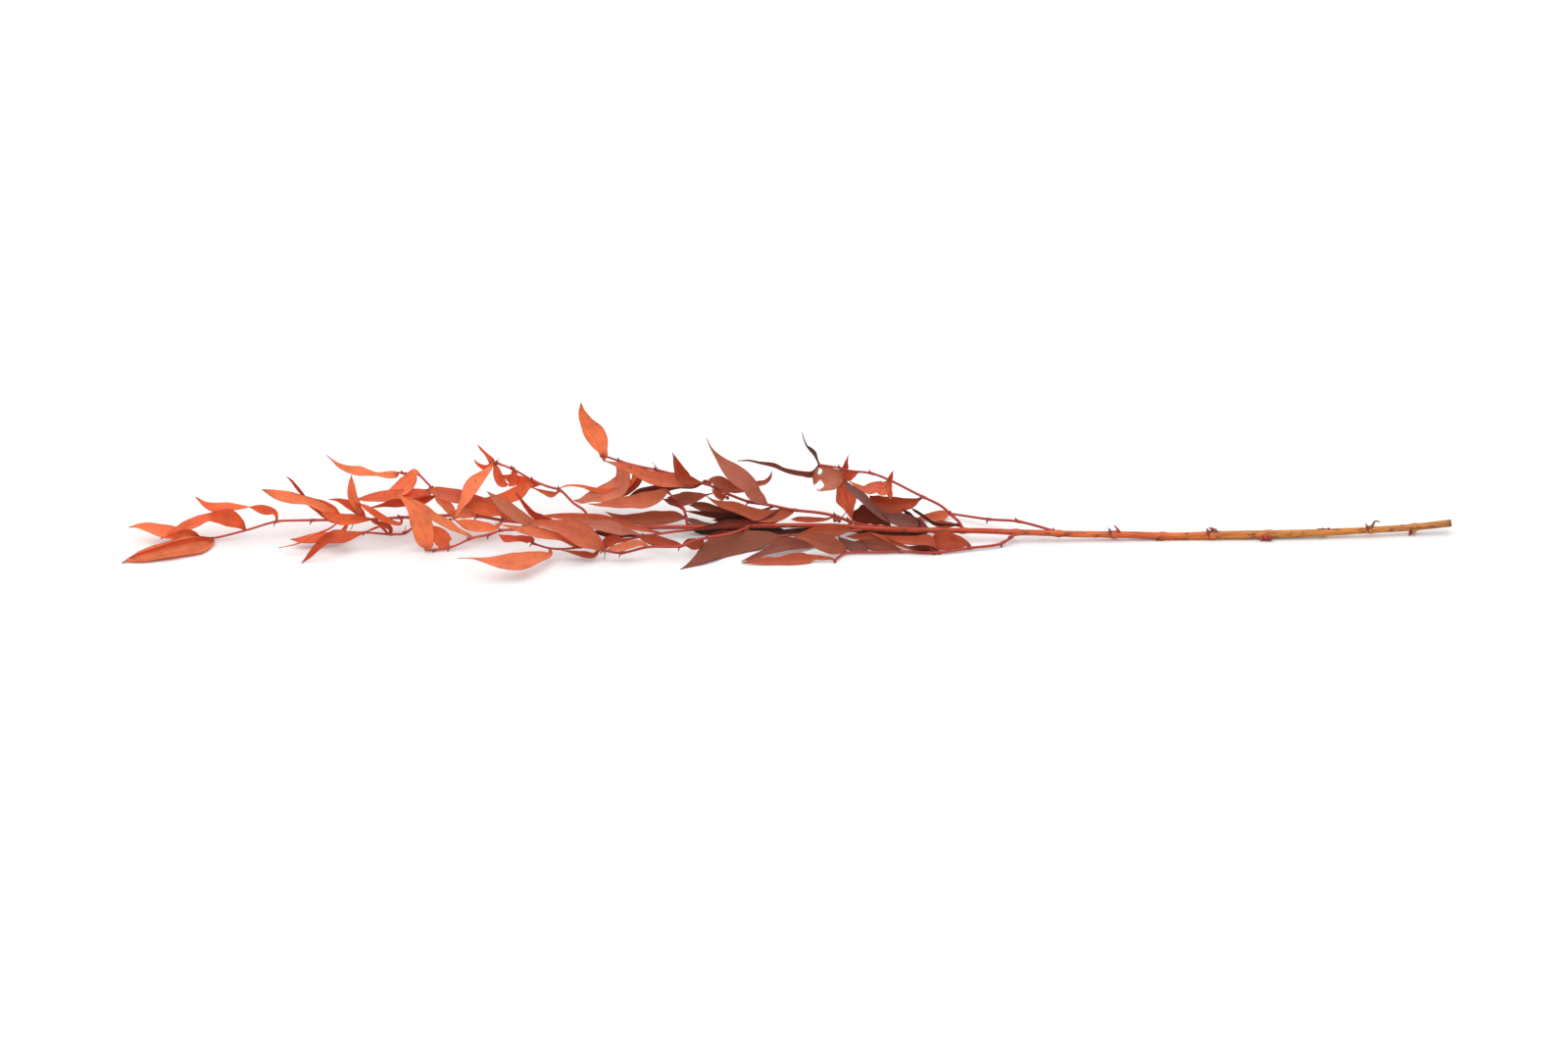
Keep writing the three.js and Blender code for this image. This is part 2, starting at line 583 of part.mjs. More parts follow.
          [-101.7, 2.3, -20],
        ],
      ),
      blade(
        -94, [2.2, 3.9, 4.8, 5.4, 3.3], -25,
        [
          [-96, -3.9, -32.1], [-100.2, -2.6, -34.1], [-105.8, -3.6, -36.3], [-112, -5.3, -37.7],
          [-117.7, -6.3, -38], [-121.7, -7.3, -38],
        ],
      ),
      blade(
        -124, [6, 11.6, 15.9, 14.1, 9.7, 6.1, 3.8], -15,
        [
          [-126.3, -5.3, -34.8], [-131.5, -1.2, -36], [-138, 1.9, -36], [-145, 5.7, -34.4],
          [-153.7, 8.7, -32.4], [-162.7, 10.3, -30], [-170.3, 11, -27.8], [-176.7, 9.7, -26],
        ],
      ),
      blade(
        -127, [3.3, 4.4, 3.1, 1.3], -30,
        [
          [-130.7, -10.6, -34], [-136.7, -10.5, -36.7], [-142.7, -9.4, -36.7], [-148.3, -8.3, -36.3],
          [-153, -7.7, -36],
        ],
      ),
      blade(
        -142, [2.6, 4, 6, 7, 5.8, 3.2, 1.2], -30,
        [
          [-146.3, -3.1, -32.1], [-153, 0.9, -33.8], [-160.7, 3, -32.8], [-168.7, 4.5, -31.8],
          [-176.7, 5.8, -30.7], [-184.7, 7.6, -29.3], [-191.2, 9.3, -27.7], [-198.3, 11, -26],
        ],
      ),
      blade(
        -161, [3.6, 7.1, 10.7, 12.2, 9.7, 5.7, 2.5, 0.9], -25,
        [
          [-161, -9.7, -37.1], [-167.7, -11.5, -48.7], [-175.3, -13.4, -56.5], [-184, -15.3, -63.1],
          [-193, -15.4, -64.6], [-201, -14.8, -66], [-208.2, -13.8, -64.6], [-214.3, -12.9, -63.1],
          [-224, -12.9, -60],
        ],
      ),
      blade(
        -173, [4.9, 4.4, 4.1, 4.9], 30,
        [
          [-173.9, -1, -28.4], [-179, 0.4, -29.5], [-185, 0.4, -30.4], [-191, 0.5, -31.2],
          [-196, 3.3, -32],
        ],
        { twist: -50, flip: 0.35 },
      ),
    ],
  },
  // a short twig in front, hidden by its own blades
  side_shoot_07: {
    dye: "rust",
    radii: [0.8, 0.7],
    course: [[-58, 7.5, 2.5], [-64, 6.5, -1], [-75, 5.3, -6], [-98, 2, -12]],
    bracts: [[-96, 1], [-97, -1]],
    blades: [
      blade(
        -85, [5.5, 6.1, 6.7, 5.5, 3.9, 2.2], 15,
        [
          [-114.3, 10.7, -8.2], [-125, 13.7, -8.6], [-135, 14, -9], [-145, 15.1, -8.7],
          [-155, 15.6, -8.4], [-161.7, 15.8, -8.2], [-169, 15.7, -8],
        ],
      ),
      blade(
        -98, [3.1, 7.9, 8.9, 6.8, 5.2, 2.6], -25,
        [
          [-106, 4.8, -13.8], [-112.3, 6.4, -15.2], [-120.3, 8.6, -16.4], [-129.7, 9.7, -17.3],
          [-139.7, 10.8, -17.9], [-150, 11.9, -17.5], [-161.7, 13, -17],
        ],
      ),
      blade(
        -97, [2, 4, 3.3], 30,
        [[-108.3, 2.3, -11.9], [-118.3, 2.7, -11.8], [-126.3, 4.2, -11.4], [-133.7, 6, -11]],
      ),
      blade(
        -97, [2.7, 6.4, 7.4], 10,
        [[-111, -0.7, -17.3], [-116.7, -0.2, -19], [-122, -2.7, -20.5], [-124.3, -8, -22]],
      ),
    ],
  },
  // the steep twig behind the stem
  side_shoot_08: {
    dye: "terracotta",
    radii: [0.8, 0.6],
    course: [[-67.5, 9.3, 6.5], [-68.5, 15.3, 10], [-70, 20.7, 14], [-75, 26.7, 18], [-80, 31.3, 21]],
    bracts: [[-68.3, 1], [-69.5, -1]],
    blades: [
      blade(
        -68.3, [7, 9.2, 9.7, 7.8, 6, 3.1], 15,
        [
          [-75, 15.2, 9.8], [-83, 14.7, 10.4], [-92.3, 14.2, 11], [-102.3, 13.7, 11], [-110, 13.7, 11.1],
          [-116.7, 15.7, 11.6], [-123.3, 18.7, 12],
        ],
      ),
      blade(
        -68.2, [3.6, 5.2, 3.8, 2.2], 15,
        [[-65.3, 12.8, 9.2], [-60, 10.4, 9.8], [-54, 9.3, 9.7], [-49, 9.4, 9.4], [-44.3, 10, 9]],
      ),
      blade(-69.8, [4.2, 4.4], 30, [[-74.3, 24, 16.5], [-78.7, 25.5, 18.3], [-84.3, 27.3, 20]]),
      blade(
        -79.5, [3.7, 9.1, 10.8, 8.6, 6.8, 4, 1.9], -28,
        [
          [-81.3, 32.5, 20.8], [-89, 28.8, 21], [-98, 26.3, 21], [-106.3, 25.5, 21], [-114.3, 24.7, 21.2],
          [-121.7, 23.8, 21.5], [-128.3, 23.4, 21.8], [-135, 24.1, 22],
        ],
      ),
      blade(
        -67.8, [4, 6.7, 9, 8.7, 6], 0,
        [[-60.3, 6, 6.8], [-48.3, 6, 7], [-35, 5.8, 7], [-21.7, 6, 7], [-8.7, 6.3, 7], [0.3, 6, 7]],
      ),
    ],
  },
  // the upper shoot of the middle
  side_shoot_09: {
    dye: "orange",
    radii: [0.9, 0.6],
    course: [
      [-134, 10.2, 3.5], [-137, 18.7, 8], [-145, 24.7, 12], [-154, 33.3, 17], [-162, 35.7, 20],
      [-172, 39.7, 23], [-186, 47.5, 28], [-195, 51, 30], [-200, 53, 31],
    ],
    bracts: [[-154, 1], [-172, 1], [-186, 1], [-196, 1]],
    blades: [
      blade(
        -154, [2.3, 4.3, 2.9, 1.1], 20,
        [
          [-157, 31.2, 16.6], [-159.8, 30.4, 16.2], [-165.3, 32.1, 16.3], [-170.3, 34, 16.7],
          [-175, 35.7, 17],
        ],
      ),
      blade(
        -167, [4.7, 6.6, 6.3], 20,
        [[-173.3, 37.3, 24.5], [-181, 39.7, 27.5], [-187.3, 41.1, 28.7], [-193.7, 43.7, 30]],
      ),
      blade(
        -171, [2.7, 6.4, 9.6, 7.8, 6, 4.7], -25,
        [
          [-172.5, 37.7, 22.4], [-177.2, 35.9, 21.8], [-183, 31.3, 20.9], [-191.7, 28, 20.2],
          [-200.7, 26.2, 19.7], [-209.3, 24.3, 19.4], [-217.7, 22, 19],
        ],
      ),
      blade(
        -186, [3.9, 5.1, 6], -10,
        [[-185.4, 45.6, 28], [-185.6, 41.8, 28], [-187, 38.1, 27.4], [-189, 35.7, 27]],
      ),
      blade(
        -197, [4.8, 3.4, 1.9, 1.7], -20,
        [
          [-199.3, 51.7, 30.3], [-202.2, 55.2, 30.1], [-205.2, 58.6, 29.8], [-208, 61.5, 29.4],
          [-210.1, 64.3, 29],
        ],
      ),
      blade(
        -199, [3.5, 2.4, 1.4], 20,
        [[-204.5, 48.7, 26.9], [-208.7, 50.2, 25], [-211.1, 52.2, 23.9], [-212.7, 54.3, 23]],
      ),
      blade(
        -199, [5, 6.5, 6.6, 4.3], 10,
        [
          [-197.2, 46.7, 28.8], [-195.9, 42.2, 27.7], [-194, 39, 27.2], [-191.3, 37.3, 26.6],
          [-189, 37.3, 26],
        ],
      ),
      blade(
        -199.5, [3.3, 6.1, 9.5, 9.5, 7.3, 4, 2.2], -20,
        [
          [-201.8, 48.4, 26.2], [-206.8, 43.7, 19.7], [-211.5, 39.5, 13.6], [-215.3, 33.7, 6.4],
          [-218.6, 27.3, -0.3], [-221.7, 22.2, -2.4], [-224.3, 16.5, -4.5], [-226.7, 13, -6],
        ],
      ),
    ],
  },
  // the low shoot in front of the leading shoot, whose last blade stands up
  side_shoot_10: {
    dye: "orange",
    radii: [0.8, 0.6],
    course: [
      [-178, 9.4, 0.4], [-183, 6.7, -4], [-194, 6, -8], [-202, 3.3, -11], [-214, 0.7, -14],
      [-227, -5, -18], [-240, -7.3, -20.5], [-246, -7.6, -21.5],
    ],
    bracts: [[-194, 1], [-202, -1], [-215, 1], [-229, -1], [-239, -1]],
    blades: [
      blade(
        -214, [2.1, 3.3, 6, 5.5, 6.1, 5, 2.1], -35,
        [
          [-216.2, 2.7, -13.5], [-222.7, 5.7, -12.4], [-230, 10.3, -11.5], [-239.2, 15, -10.7],
          [-246.3, 20.3, -10.1], [-253, 24.5, -9.4], [-259.2, 27.1, -8.8], [-265.7, 30.7, -8],
        ],
      ),
      blade(
        -229, [9.2, 11.6, 9.5, 5.3], 0,
        [
          [-231.9, -3.8, -18.6], [-234, 0, -19], [-238.3, 4.3, -17.7], [-241.8, 7.5, -16.5],
          [-244.3, 13.3, -15],
        ],
      ),
      blade(
        -245.5, [7.3, 13, 14.7, 13, 6.8, 2.7], -10,
        [
          [-244.7, -5.5, -21.5], [-245.5, 0, -22.6], [-247.7, 7.8, -22.2], [-250.5, 14.7, -21.2],
          [-255.4, 21.4, -19.5], [-260.7, 27.3, -17.7], [-266.7, 32, -16],
        ],
      ),
    ],
  },
  // the upper shoot near the tip
  side_shoot_11: {
    dye: "orange",
    radii: [0.8, 0.6],
    course: [
      [-226, 17.2, 7.5], [-231, 21.3, 10], [-238, 31.3, 15], [-245.5, 39.3, 19], [-250.5, 44, 21],
      [-260, 44.7, 23], [-265, 45.3, 25],
    ],
    bracts: [[-240, 1], [-260, 1]],
    blades: [
      blade(
        -239, [5, 6.5, 5.9], 15,
        [[-236.5, 27.7, 12], [-231.7, 23.5, 8], [-228, 18.8, 5], [-226.3, 12.7, 3]],
      ),
      blade(-237, 10, 55, [[-252, 25.3, 10], [-265, 24.7, 8], [-284, 21.3, 6]]),
      blade(
        -240, [8.3, 8.3, 7.8, 7.5, 5.7, 3.5], -35,
        [
          [-247, 30.2, 15.4], [-255, 30.2, 14.6], [-265, 29.9, 13.4], [-273.7, 29.1, 12.5],
          [-281.7, 28.5, 11.9], [-287.7, 27.6, 11.4], [-292.3, 27.3, 11],
        ],
      ),
      blade(
        -249, [5.5, 9.5, 11.1, 8.5], -25,
        [
          [-252.8, 45.2, 19.7], [-256.3, 40.3, 18.9], [-260.3, 35.9, 18.4], [-266.3, 32.5, 17.9],
          [-276.3, 27.7, 17],
        ],
      ),
      blade(
        -264.5, [4.1, 4.9, 2.5, 4.3, 6.7, 4.7, 3, 1.2], -35,
        [
          [-265.2, 44.4, 24.8], [-270.3, 43.8, 25], [-278.4, 44.2, 25], [-284.3, 45.2, 24.6],
          [-290.7, 46.5, 24.1], [-298.3, 47.6, 23.5], [-304.3, 50.1, 23.1], [-308.7, 53.5, 22.5],
          [-313, 57.3, 22],
        ],
      ),
    ],
  },
  // the short shoot in front near the tip
  side_shoot_12: {
    dye: "orange",
    radii: [0.8, 0.6],
    course: [[-247, 13.8, 4], [-254, 8, -1], [-260, 4, -5], [-268, 3.3, -8], [-287, 4.7, -14]],
    bracts: [[-259, 1], [-269, 1], [-286, -1]],
    blades: [
      blade(
        -269, [2.9, 3.7, 3.4, 2.7], 20,
        [
          [-269.2, 6.7, -8.6], [-270.7, 8.5, -8.8], [-275.7, 10.2, -9], [-280.7, 12.3, -9],
          [-284.3, 14.7, -9],
        ],
      ),
      blade(-271, 6, 75, [[-276, 8, -12], [-286, 5.3, -15]]),
      blade(
        -286.5, [3.3, 7.5, 9.3, 7, 5.4, 4.6, 3.1], -40,
        [
          [-292, 3.6, -15.3], [-299, 2.3, -17.3], [-306, 1.9, -20.3], [-312, 0.8, -24.1],
          [-316.3, -2.2, -27.6], [-320.3, -6.5, -31.3], [-324.8, -11.3, -35], [-329.9, -16.3, -39],
        ],
        { twist: 85, flip: 0.45, sweep: 0.15 },
      ),
    ],
  },
};

// Solids

// A closed solid through rings of points. The two halves of a ring are split into triangles in
// mirrored ways, so that a blade's two faces are split alike.
function loft(rings) {
  const sides = rings[0].length;
  const positions = rings.flat().flatMap((p) => p.toArray());
  const triangles = [];
  for (let i = 0; i + 1 < rings.length; i++) {
    for (let k = 0; k < sides; k++) {
      const a = i * sides + k;
      const b = i * sides + ((k + 1) % sides);
      const c = b + sides;
      const d = a + sides;
      if (k < sides / 2) triangles.push(a, b, c, a, c, d);
      else triangles.push(a, b, d, b, c, d);
    }
  }
  const last = (rings.length - 1) * sides;
  for (let k = 2; k < sides; k++) {
    const b = k;
    const c = (k + 1) % sides;
    triangles.push(1, c, b, last + 1, last + b, last + c);
  }
  const geometry = new THREE.BufferGeometry();
  geometry.setAttribute("position", new THREE.Float32BufferAttribute(positions, 3));
  geometry.setIndex(triangles);
  return solid(geometry);
}

function solid(geometry) {
  const bare = geometry.clone();
  bare.deleteAttribute("normal");
  bare.deleteAttribute("uv");
  const merged = mergeVertices(bare);
  const mesh = new wasm.Mesh({
    numProp: 3,
    vertProperties: new Float32Array(merged.attributes.position.array),
    triVerts: new Uint32Array(merged.index.array),
  });
  return new wasm.Manifold(mesh);
}

function joined(solids) {
  return solids.reduce((whole, next) => whole.add(next));
}

function largestBody(whole) {
  const bodies = whole.decompose();
  return bodies.reduce((best, body) => (body.volume() > best.volume() ? body : best));
}

// Courses

function courseCurve(course) {
  return new THREE.CatmullRomCurve3(course.map(place));
}

// How far along the curve the course passes "along"
function shareAt(curve, along) {
  let low = 0;
  let high = 1;
  for (let i = 0; i < HALVINGS; i++) {
    const middle = (low + high) / 2;
    if (curve.getPointAt(middle).x > along) low = middle;
    else high = middle;
  }
  return low;
}

function roundTube(curve, shares, radiusAt, sides) {
  const rings = shares.map((share) => {
    const centre = curve.getPointAt(share);
    const forward = curve.getTangentAt(share);
    const right = new THREE.Vector3(0, 0, 1).cross(forward).normalize();
    const up = forward.clone().cross(right);
    return Array.from({ length: sides }, (unused, k) => {
      const angle = (2 * Math.PI * k) / sides;
      return centre
        .clone()
        .addScaledVector(right, Math.cos(angle) * radiusAt(share))
        .addScaledVector(up, Math.sin(angle) * radiusAt(share));
    });
  });
  return loft(rings);
}

function evenShares(length, step) {
  const count = Math.max(2, Math.round(length / step));
  return Array.from({ length: count + 1 }, (unused, i) => i / count);
}

// Blades, which are the ruscus's flattened, leaf-like twigs

function outline(share, [base, point]) {
  const widest = base / (base + point);
  return (share / widest) ** base * ((1 - share) / (1 - widest)) ** point;
}

// A smooth line through evenly spaced values, read at a knot from 0 to 1
function through(values, knot) {
  return new THREE.SplineCurve(values.map((value) => new THREE.Vector2(value, 0))).getPoint(knot).x;
}

function turnAt({ turn, twist, flip, sweep }, share) {
  const turned = THREE.MathUtils.smoothstep((share - flip) / sweep + 0.5, 0, 1);
  return THREE.MathUtils.degToRad(turn + twist * turned);
}

function halfWidth({ width, shape }, midrib, share, angle) {
  const least = share < 0.5 ? PETIOLE_WIDTH : TIP_WIDTH;
  if (!Array.isArray(width)) return Math.max(width * outline(share, shape), least) / 2;
  const seen = through([PETIOLE_WIDTH, ...width, TIP_WIDTH], midrib.getUtoTmapping(share));
  return Math.max(seen / Math.max(Math.abs(Math.cos(angle)), LEAST_FACING), least) / 2;
}

function bladeSolid(curve, row) {
  const root = curve.getPointAt(shareAt(curve, row.at));
  const midrib = new THREE.CatmullRomCurve3([root, ...row.points.map(place)]);
  const stations = row.twist ? TWISTED_STATIONS : BLADE_STATIONS;
  const rings = stations.map((share) => {
    const centre = midrib.getPointAt(share);
    const forward = midrib.getTangentAt(share);
    const across = forward.clone().cross(TO_EYE).normalize();
    const angle = turnAt(row, share);
    across.applyAxisAngle(forward, -angle);
    const face = across.clone().cross(forward);
    const half = halfWidth(row, midrib, share, angle);
    const corner = (side, layer) => {
      const rise = (Math.abs(side) - 1) * BLADE_FOLD * half + (layer * BLADE_THICKNESS) / 2;
      return centre.clone().addScaledVector(across, side * half).addScaledVector(face, rise);
    };
    return [corner(-1, 1), corner(0, 1), corner(1, 1), corner(1, -1), corner(0, -1), corner(-1, -1)];
  });
  return loft(rings);
}

// A bract is the small pointed scale at a node
function bractSolid(curve, along, lean, radius) {
  const share = shareAt(curve, along);
  const forward = curve.getTangentAt(share);
  const outward = new THREE.Vector3(0, -BRACT_FRONT, lean);
  const aim = outward.addScaledVector(forward, BRACT_FORWARD).normalize();
  const length = BRACT_LEAST + BRACT_GROWTH * radius;
  const cone = new THREE.ConeGeometry(BRACT_FOOT * radius, length, BRACT_SIDES);
  cone.translate(0, length / 2, 0);
  cone.applyQuaternion(new THREE.Quaternion().setFromUnitVectors(new THREE.Vector3(0, 1, 0), aim));
  cone.translate(...curve.getPointAt(share).toArray());
  return solid(cone);
}

// The woody stem

function stemRadius(along, spare = 0) {
  const { radii, nodes } = WOODY_STEM;
  const next = Math.max(1, radii.findIndex(([x]) => x <= along));
  const [x0, r0] = radii[next - 1];
  const [x1, r1] = radii[next];
  const plain = THREE.MathUtils.mapLinear(along, x0, x1, r0, r1);
  const swell = nodes.reduce((sum, x) => sum + Math.exp(-(((along - x) / NODE_REACH) ** 2)), 0);
  return plain + NODE_SWELL * Math.min(swell, 1) + spare;
}

function stemTube(spare = 0) {
  const curve = courseCurve(WOODY_STEM.course);
  const shares = evenShares(curve.getLength(), STEM_STEP);
  for (const node of WOODY_STEM.nodes) {
    for (const offset of [-NODE_RING, 0, NODE_RING]) shares.push(shareAt(curve, node + offset));
  }
  shares.sort((a, b) => a - b);
  const apart = shares.filter((share, i) => i === 0 || share - shares[i - 1] > CLOSEST_RINGS);
  const radiusAt = (share) => stemRadius(curve.getPointAt(share).x, spare);
  return roundTube(curve, apart, radiusAt, STEM_SIDES);
}

// Everything below the surface, so that what touches it touches on a small flat spot
function ground() {
  const [length, width, depth] = GROUND;
  return solid(new THREE.BoxGeometry(length, width, depth).translate(0, 0, -depth / 2));
}

function woodyStem() {
  const curve = courseCurve(WOODY_STEM.course);
  const bracts = WOODY_STEM.bracts.map(([along, lean]) =>
    bractSolid(curve, along, lean, stemRadius(along)),
  );
  return largestBody(joined([stemTube(), ...bracts]).subtract(ground()));
}

// The shoots

function bite([spot, radius]) {
  const tube = new THREE.CylinderGeometry(radius, radius, BITE_DEPTH, BITE_SIDES);
  tube.applyQuaternion(new THREE.Quaternion().setFromUnitVectors(new THREE.Vector3(0, 1, 0), TO_EYE));
  return solid(tube.translate(...place(spot).toArray()));
}

function twigRadius({ radii }, share) {
  return THREE.MathUtils.lerp(radii[0], radii[1], share);
}

function twigTube(row, spare = 0) {
  const curve = courseCurve(row.course);
  const shares = evenShares(curve.getLength(), TWIG_STEP);
  return roundTube(curve, shares, (share) => twigRadius(row, share) + spare, TWIG_SIDES);
}

function shoot(row, clearance, bites = []) {
  const curve = courseCurve(row.course);
  const bracts = row.bracts.map(([along, lean]) =>
    bractSolid(curve, along, lean, twigRadius(row, shareAt(curve, along))),
  );
  const blades = row.blades.map((each) => bladeSolid(curve, each));
  const whole = joined([twigTube(row), ...bracts, ...blades]);
  const taken = [clearance, ground(), ...bites.map(bite)];
  return largestBody(taken.reduce((left, next) => left.subtract(next), whole));
}

function namedMesh(name, body, dye) {
  const { vertProperties, triVerts } = body.getMesh();
  const geometry = new THREE.BufferGeometry();
  geometry.setAttribute("position", new THREE.BufferAttribute(vertProperties, 3));
  geometry.setIndex(new THREE.BufferAttribute(triVerts, 1));
  const material = new THREE.MeshStandardMaterial({
    color: DYES[dye],
    roughness: ROUGHNESS,
    metalness: 0,
  });
  const mesh = new THREE.Mesh(geometry, material);
  mesh.name = name;
  return mesh;
}

const stem = new THREE.Group();
const { leading_shoot: leader, ...sideShoots } = SHOOTS;
const offStem = stemTube(JOINT_GAP);
const offStemAndLeader = offStem.add(twigTube(leader, JOINT_GAP));
stem.add(namedMesh("woody_stem", woodyStem(), WOODY_STEM.dye));
stem.add(namedMesh("leading_shoot", shoot(leader, offStem), leader.dye));
for (const [name, row] of Object.entries(sideShoots))
  stem.add(namedMesh(name, shoot(row, offStemAndLeader, BITES[name]), row.dye));

export default stem;
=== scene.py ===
import math
import random
from bisect import bisect_right

import bmesh
import bpy
from mathutils import Matrix, Vector, noise


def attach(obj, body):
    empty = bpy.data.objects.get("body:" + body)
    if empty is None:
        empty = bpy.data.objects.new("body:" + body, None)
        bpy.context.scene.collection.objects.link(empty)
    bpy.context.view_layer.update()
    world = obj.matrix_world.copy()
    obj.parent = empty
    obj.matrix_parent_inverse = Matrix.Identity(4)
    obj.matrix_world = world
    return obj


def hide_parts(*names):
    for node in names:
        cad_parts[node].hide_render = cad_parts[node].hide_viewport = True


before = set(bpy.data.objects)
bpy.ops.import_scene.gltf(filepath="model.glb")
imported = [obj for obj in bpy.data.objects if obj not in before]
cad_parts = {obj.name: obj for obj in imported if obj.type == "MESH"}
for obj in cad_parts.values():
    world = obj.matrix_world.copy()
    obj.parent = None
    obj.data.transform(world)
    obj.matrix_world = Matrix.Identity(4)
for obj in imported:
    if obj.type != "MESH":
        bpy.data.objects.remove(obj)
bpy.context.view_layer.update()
chance = random.Random(11)

MM = 0.001
FULL_TURN = 2 * math.pi
SIGHT_ELEVATION = math.radians(25)
SIGHT_RISE = math.cos(SIGHT_ELEVATION)
SIGHT_SLOPE = math.sin(SIGHT_ELEVATION)
TO_EYE = Vector((0, -SIGHT_RISE, SIGHT_SLOPE))
STEM_BACK = 8

# What the picture takes in
PICTURE_WIDTH = 1066.7
PICTURE_MIDDLE = [-1.7, 12.7, 0]
EYE_DISTANCE = 3000
FLOOR_HALF = 6.0  # metres

# Blades
BLADE_STATIONS = 36
END_CROWDING = 0.6  # how much closer the stations stand towards both ends
BLADE_COLUMNS = 8
MIDRIB_THICKNESS = 0.55
MARGIN_THICKNESS = 0.3
PETIOLE_WIDTH = 1.2
PETIOLE_LENGTH = 3
PETIOLE_THICKENING = 0.5
TIP_WIDTH = 0.3
LEAST_FACING = 0.4  # a blade turned edge-on shows this share of its width at least
OUTLINE_POWERS = [0.8, 1.1]  # at the base and at the point, where the width is one number
POWER_SPREADS = [0.05, 0.08]
FOLD_POWER = 1.3  # 1 is a sharp fold, and more rounds it
LEAST_RIPPLES = 1.2
MOST_RIPPLES = 2.4
JAG_DEPTH = 0.03
JAG_RATE = 1.7  # of the margin's jags, for each of its ripples
DYE_SPREAD = 0.08
PATTERNS = 40  # how many places a blade's pattern may start at

# Twigs, and the pointed bracts at their nodes
TWIG_STEP = 1.5
TWIG_SIDES = 10
TWIG_SPARE = 0.12
NODE_SWELL = 0.35
NODE_REACH = 1.6
BRACT_LENGTH = 3
BRACT_STATIONS = 6
BRACT_COLUMNS = [-1, -0.5, 0, 0.5, 1]
BRACT_THICKNESS = 0.36
BRACT_FRONT = 0.35  # how far it leans to the front
BRACT_AIM = [0.8, 0.75]  # how far its point leans along the twig and away from it
BRACT_ROOT = 0.4  # how far from the twig's line it starts, as a share of the radius
BRACT_CLEAR = 0.9  # and how far its middle stands from it
BRACT_BEND = 0.3  # where that middle is, as a share of the length
BRACT_TIP = 0.1
BRACT_TAPER = 1.5
BRACT_HUG = 0.7  # how far its sides wrap round the twig

# Knots and spurs
KNOT_SPINDLES = 3
KNOT_REACH = 1.3
KNOT_GIRTHS = [0.6, 0.8]
KNOT_STEP = 1 / 8
KNOT_POWER = 0.7
KNOT_END = 0.05
KNOT_SIDES = 10
SPUR_STEP = 0.8
SPUR_SIDES = 8
SPUR_TAPER = 0.6

# The woody stem
STEM_STEP = 1.5
STEM_SIDES = 20
STEM_SPARE = 0.2
STEM_NODE_SWELL = 0.6
STEM_NODE_REACH = 2.2
STEM_BRACT_LENGTH = 5.5
KNOB_HEIGHT = 0.09
KNOB_RATE = 0.11

# What would reach under the floor is kept this far above it, or pressed almost flat onto it
FLOOR_GAP = 0.05
FLOOR_PRESS = 0.01

# Edges sharper than these angles stay sharp, in degrees
STEM_CREASE = 55
SHOOT_CREASE = 60

# Round bites that insects took from one blade, as [place, radius] for each
BITTEN_SHOOT = "side_shoot_03"
BITTEN_BLADE = 7
BITES = [[[22.5, 46.3, 18.5], 1.7], [[22.8, 36.9, 18.5], 2.4], [[20.3, 35.8, 18.5], 1.6]]
BITE_DEPTH = 12
BITE_SIDES = 14

# Swollen nodes and dry bud scales, as [place, radius, dye] for each
KNOTS = {
    "woody_stem": [
        [[225.5, 5.6, -1.5], 1.5, "red_twig"], [[256, -0.6, -1.5], 1.6, "scale"],
        [[291.5, 5.8, 0], 1.8, "withered"], [[289.5, 6.6, 0], 1.4, "scale"],
        [[326, 1.2, -3.4], 2.1, "red_twig"], [[329, 0.4, -3], 1.7, "scale"],
        [[323, 0.6, -3], 1.4, "orange_twig"], [[365, 6.6, 2.2], 1.3, "withered"],
        [[369, 6.9, 2.4], 1, "scale"], [[397, 8, 4], 1.9, "withered"], [[427, 5.2, 6], 1.7, "ochre"],
        [[425, 4.6, 6], 1.1, "scale"],
    ],
    "leading_shoot": [[[-210.5, 16.1, 4.5], 0.9, "scale"], [[-228.5, 13.5, 5], 1.1, "scale"]],
    "side_shoot_02": [[[33, -15.2, -38], 1.1, "scale"], [[104, -10, -24.5], 1, "scale"]],
    "side_shoot_04": [
        [[33.7, 13.3, 9], 2, "dark_red"], [[36, 12.5, 9], 1.4, "dark_red"],
        [[43, 9.5, 6.5], 2.1, "dark_red"], [[46, 8.7, 6], 1.6, "dark_red"],
        [[-54.7, 39.3, 27.5], 1.6, "dark_red"], [[-40.3, 28, 22.5], 1.3, "dark_red"],
        [[-15.5, 24.7, 18.5], 1.2, "scale"], [[-52, 38.5, 26], 1.1, "dark_red"],
    ],
    "side_shoot_06": [
        [[-26.8, 8, 0.5], 1.7, "red_twig"], [[-25.5, 9, 2], 1.2, "red_twig"],
        [[-110, -8.7, -33], 1.2, "red_twig"], [[-111.8, -9.3, -33], 1.1, "red_twig"],
    ],
    "side_shoot_07": [[[-98.3, 2, -12], 1.4, "red_twig"]],
    "side_shoot_09": [[[-185.7, 48, 28], 1.2, "scale"], [[-198, 51.5, 30.5], 1.1, "scale"]],
    "side_shoot_10": [
        [[-195.7, 5.6, -8.5], 1, "scale"], [[-201.7, 3.2, -11], 0.9, "scale"],
        [[-215, 0.6, -14], 0.8, "scale"], [[-230, -5.8, -18.5], 1, "scale"],
    ],
    "side_shoot_11": [[[-240.5, 34.3, 16.5], 1.4, "red_twig"], [[-242.5, 35.3, 17], 1.1, "red_twig"]],
}

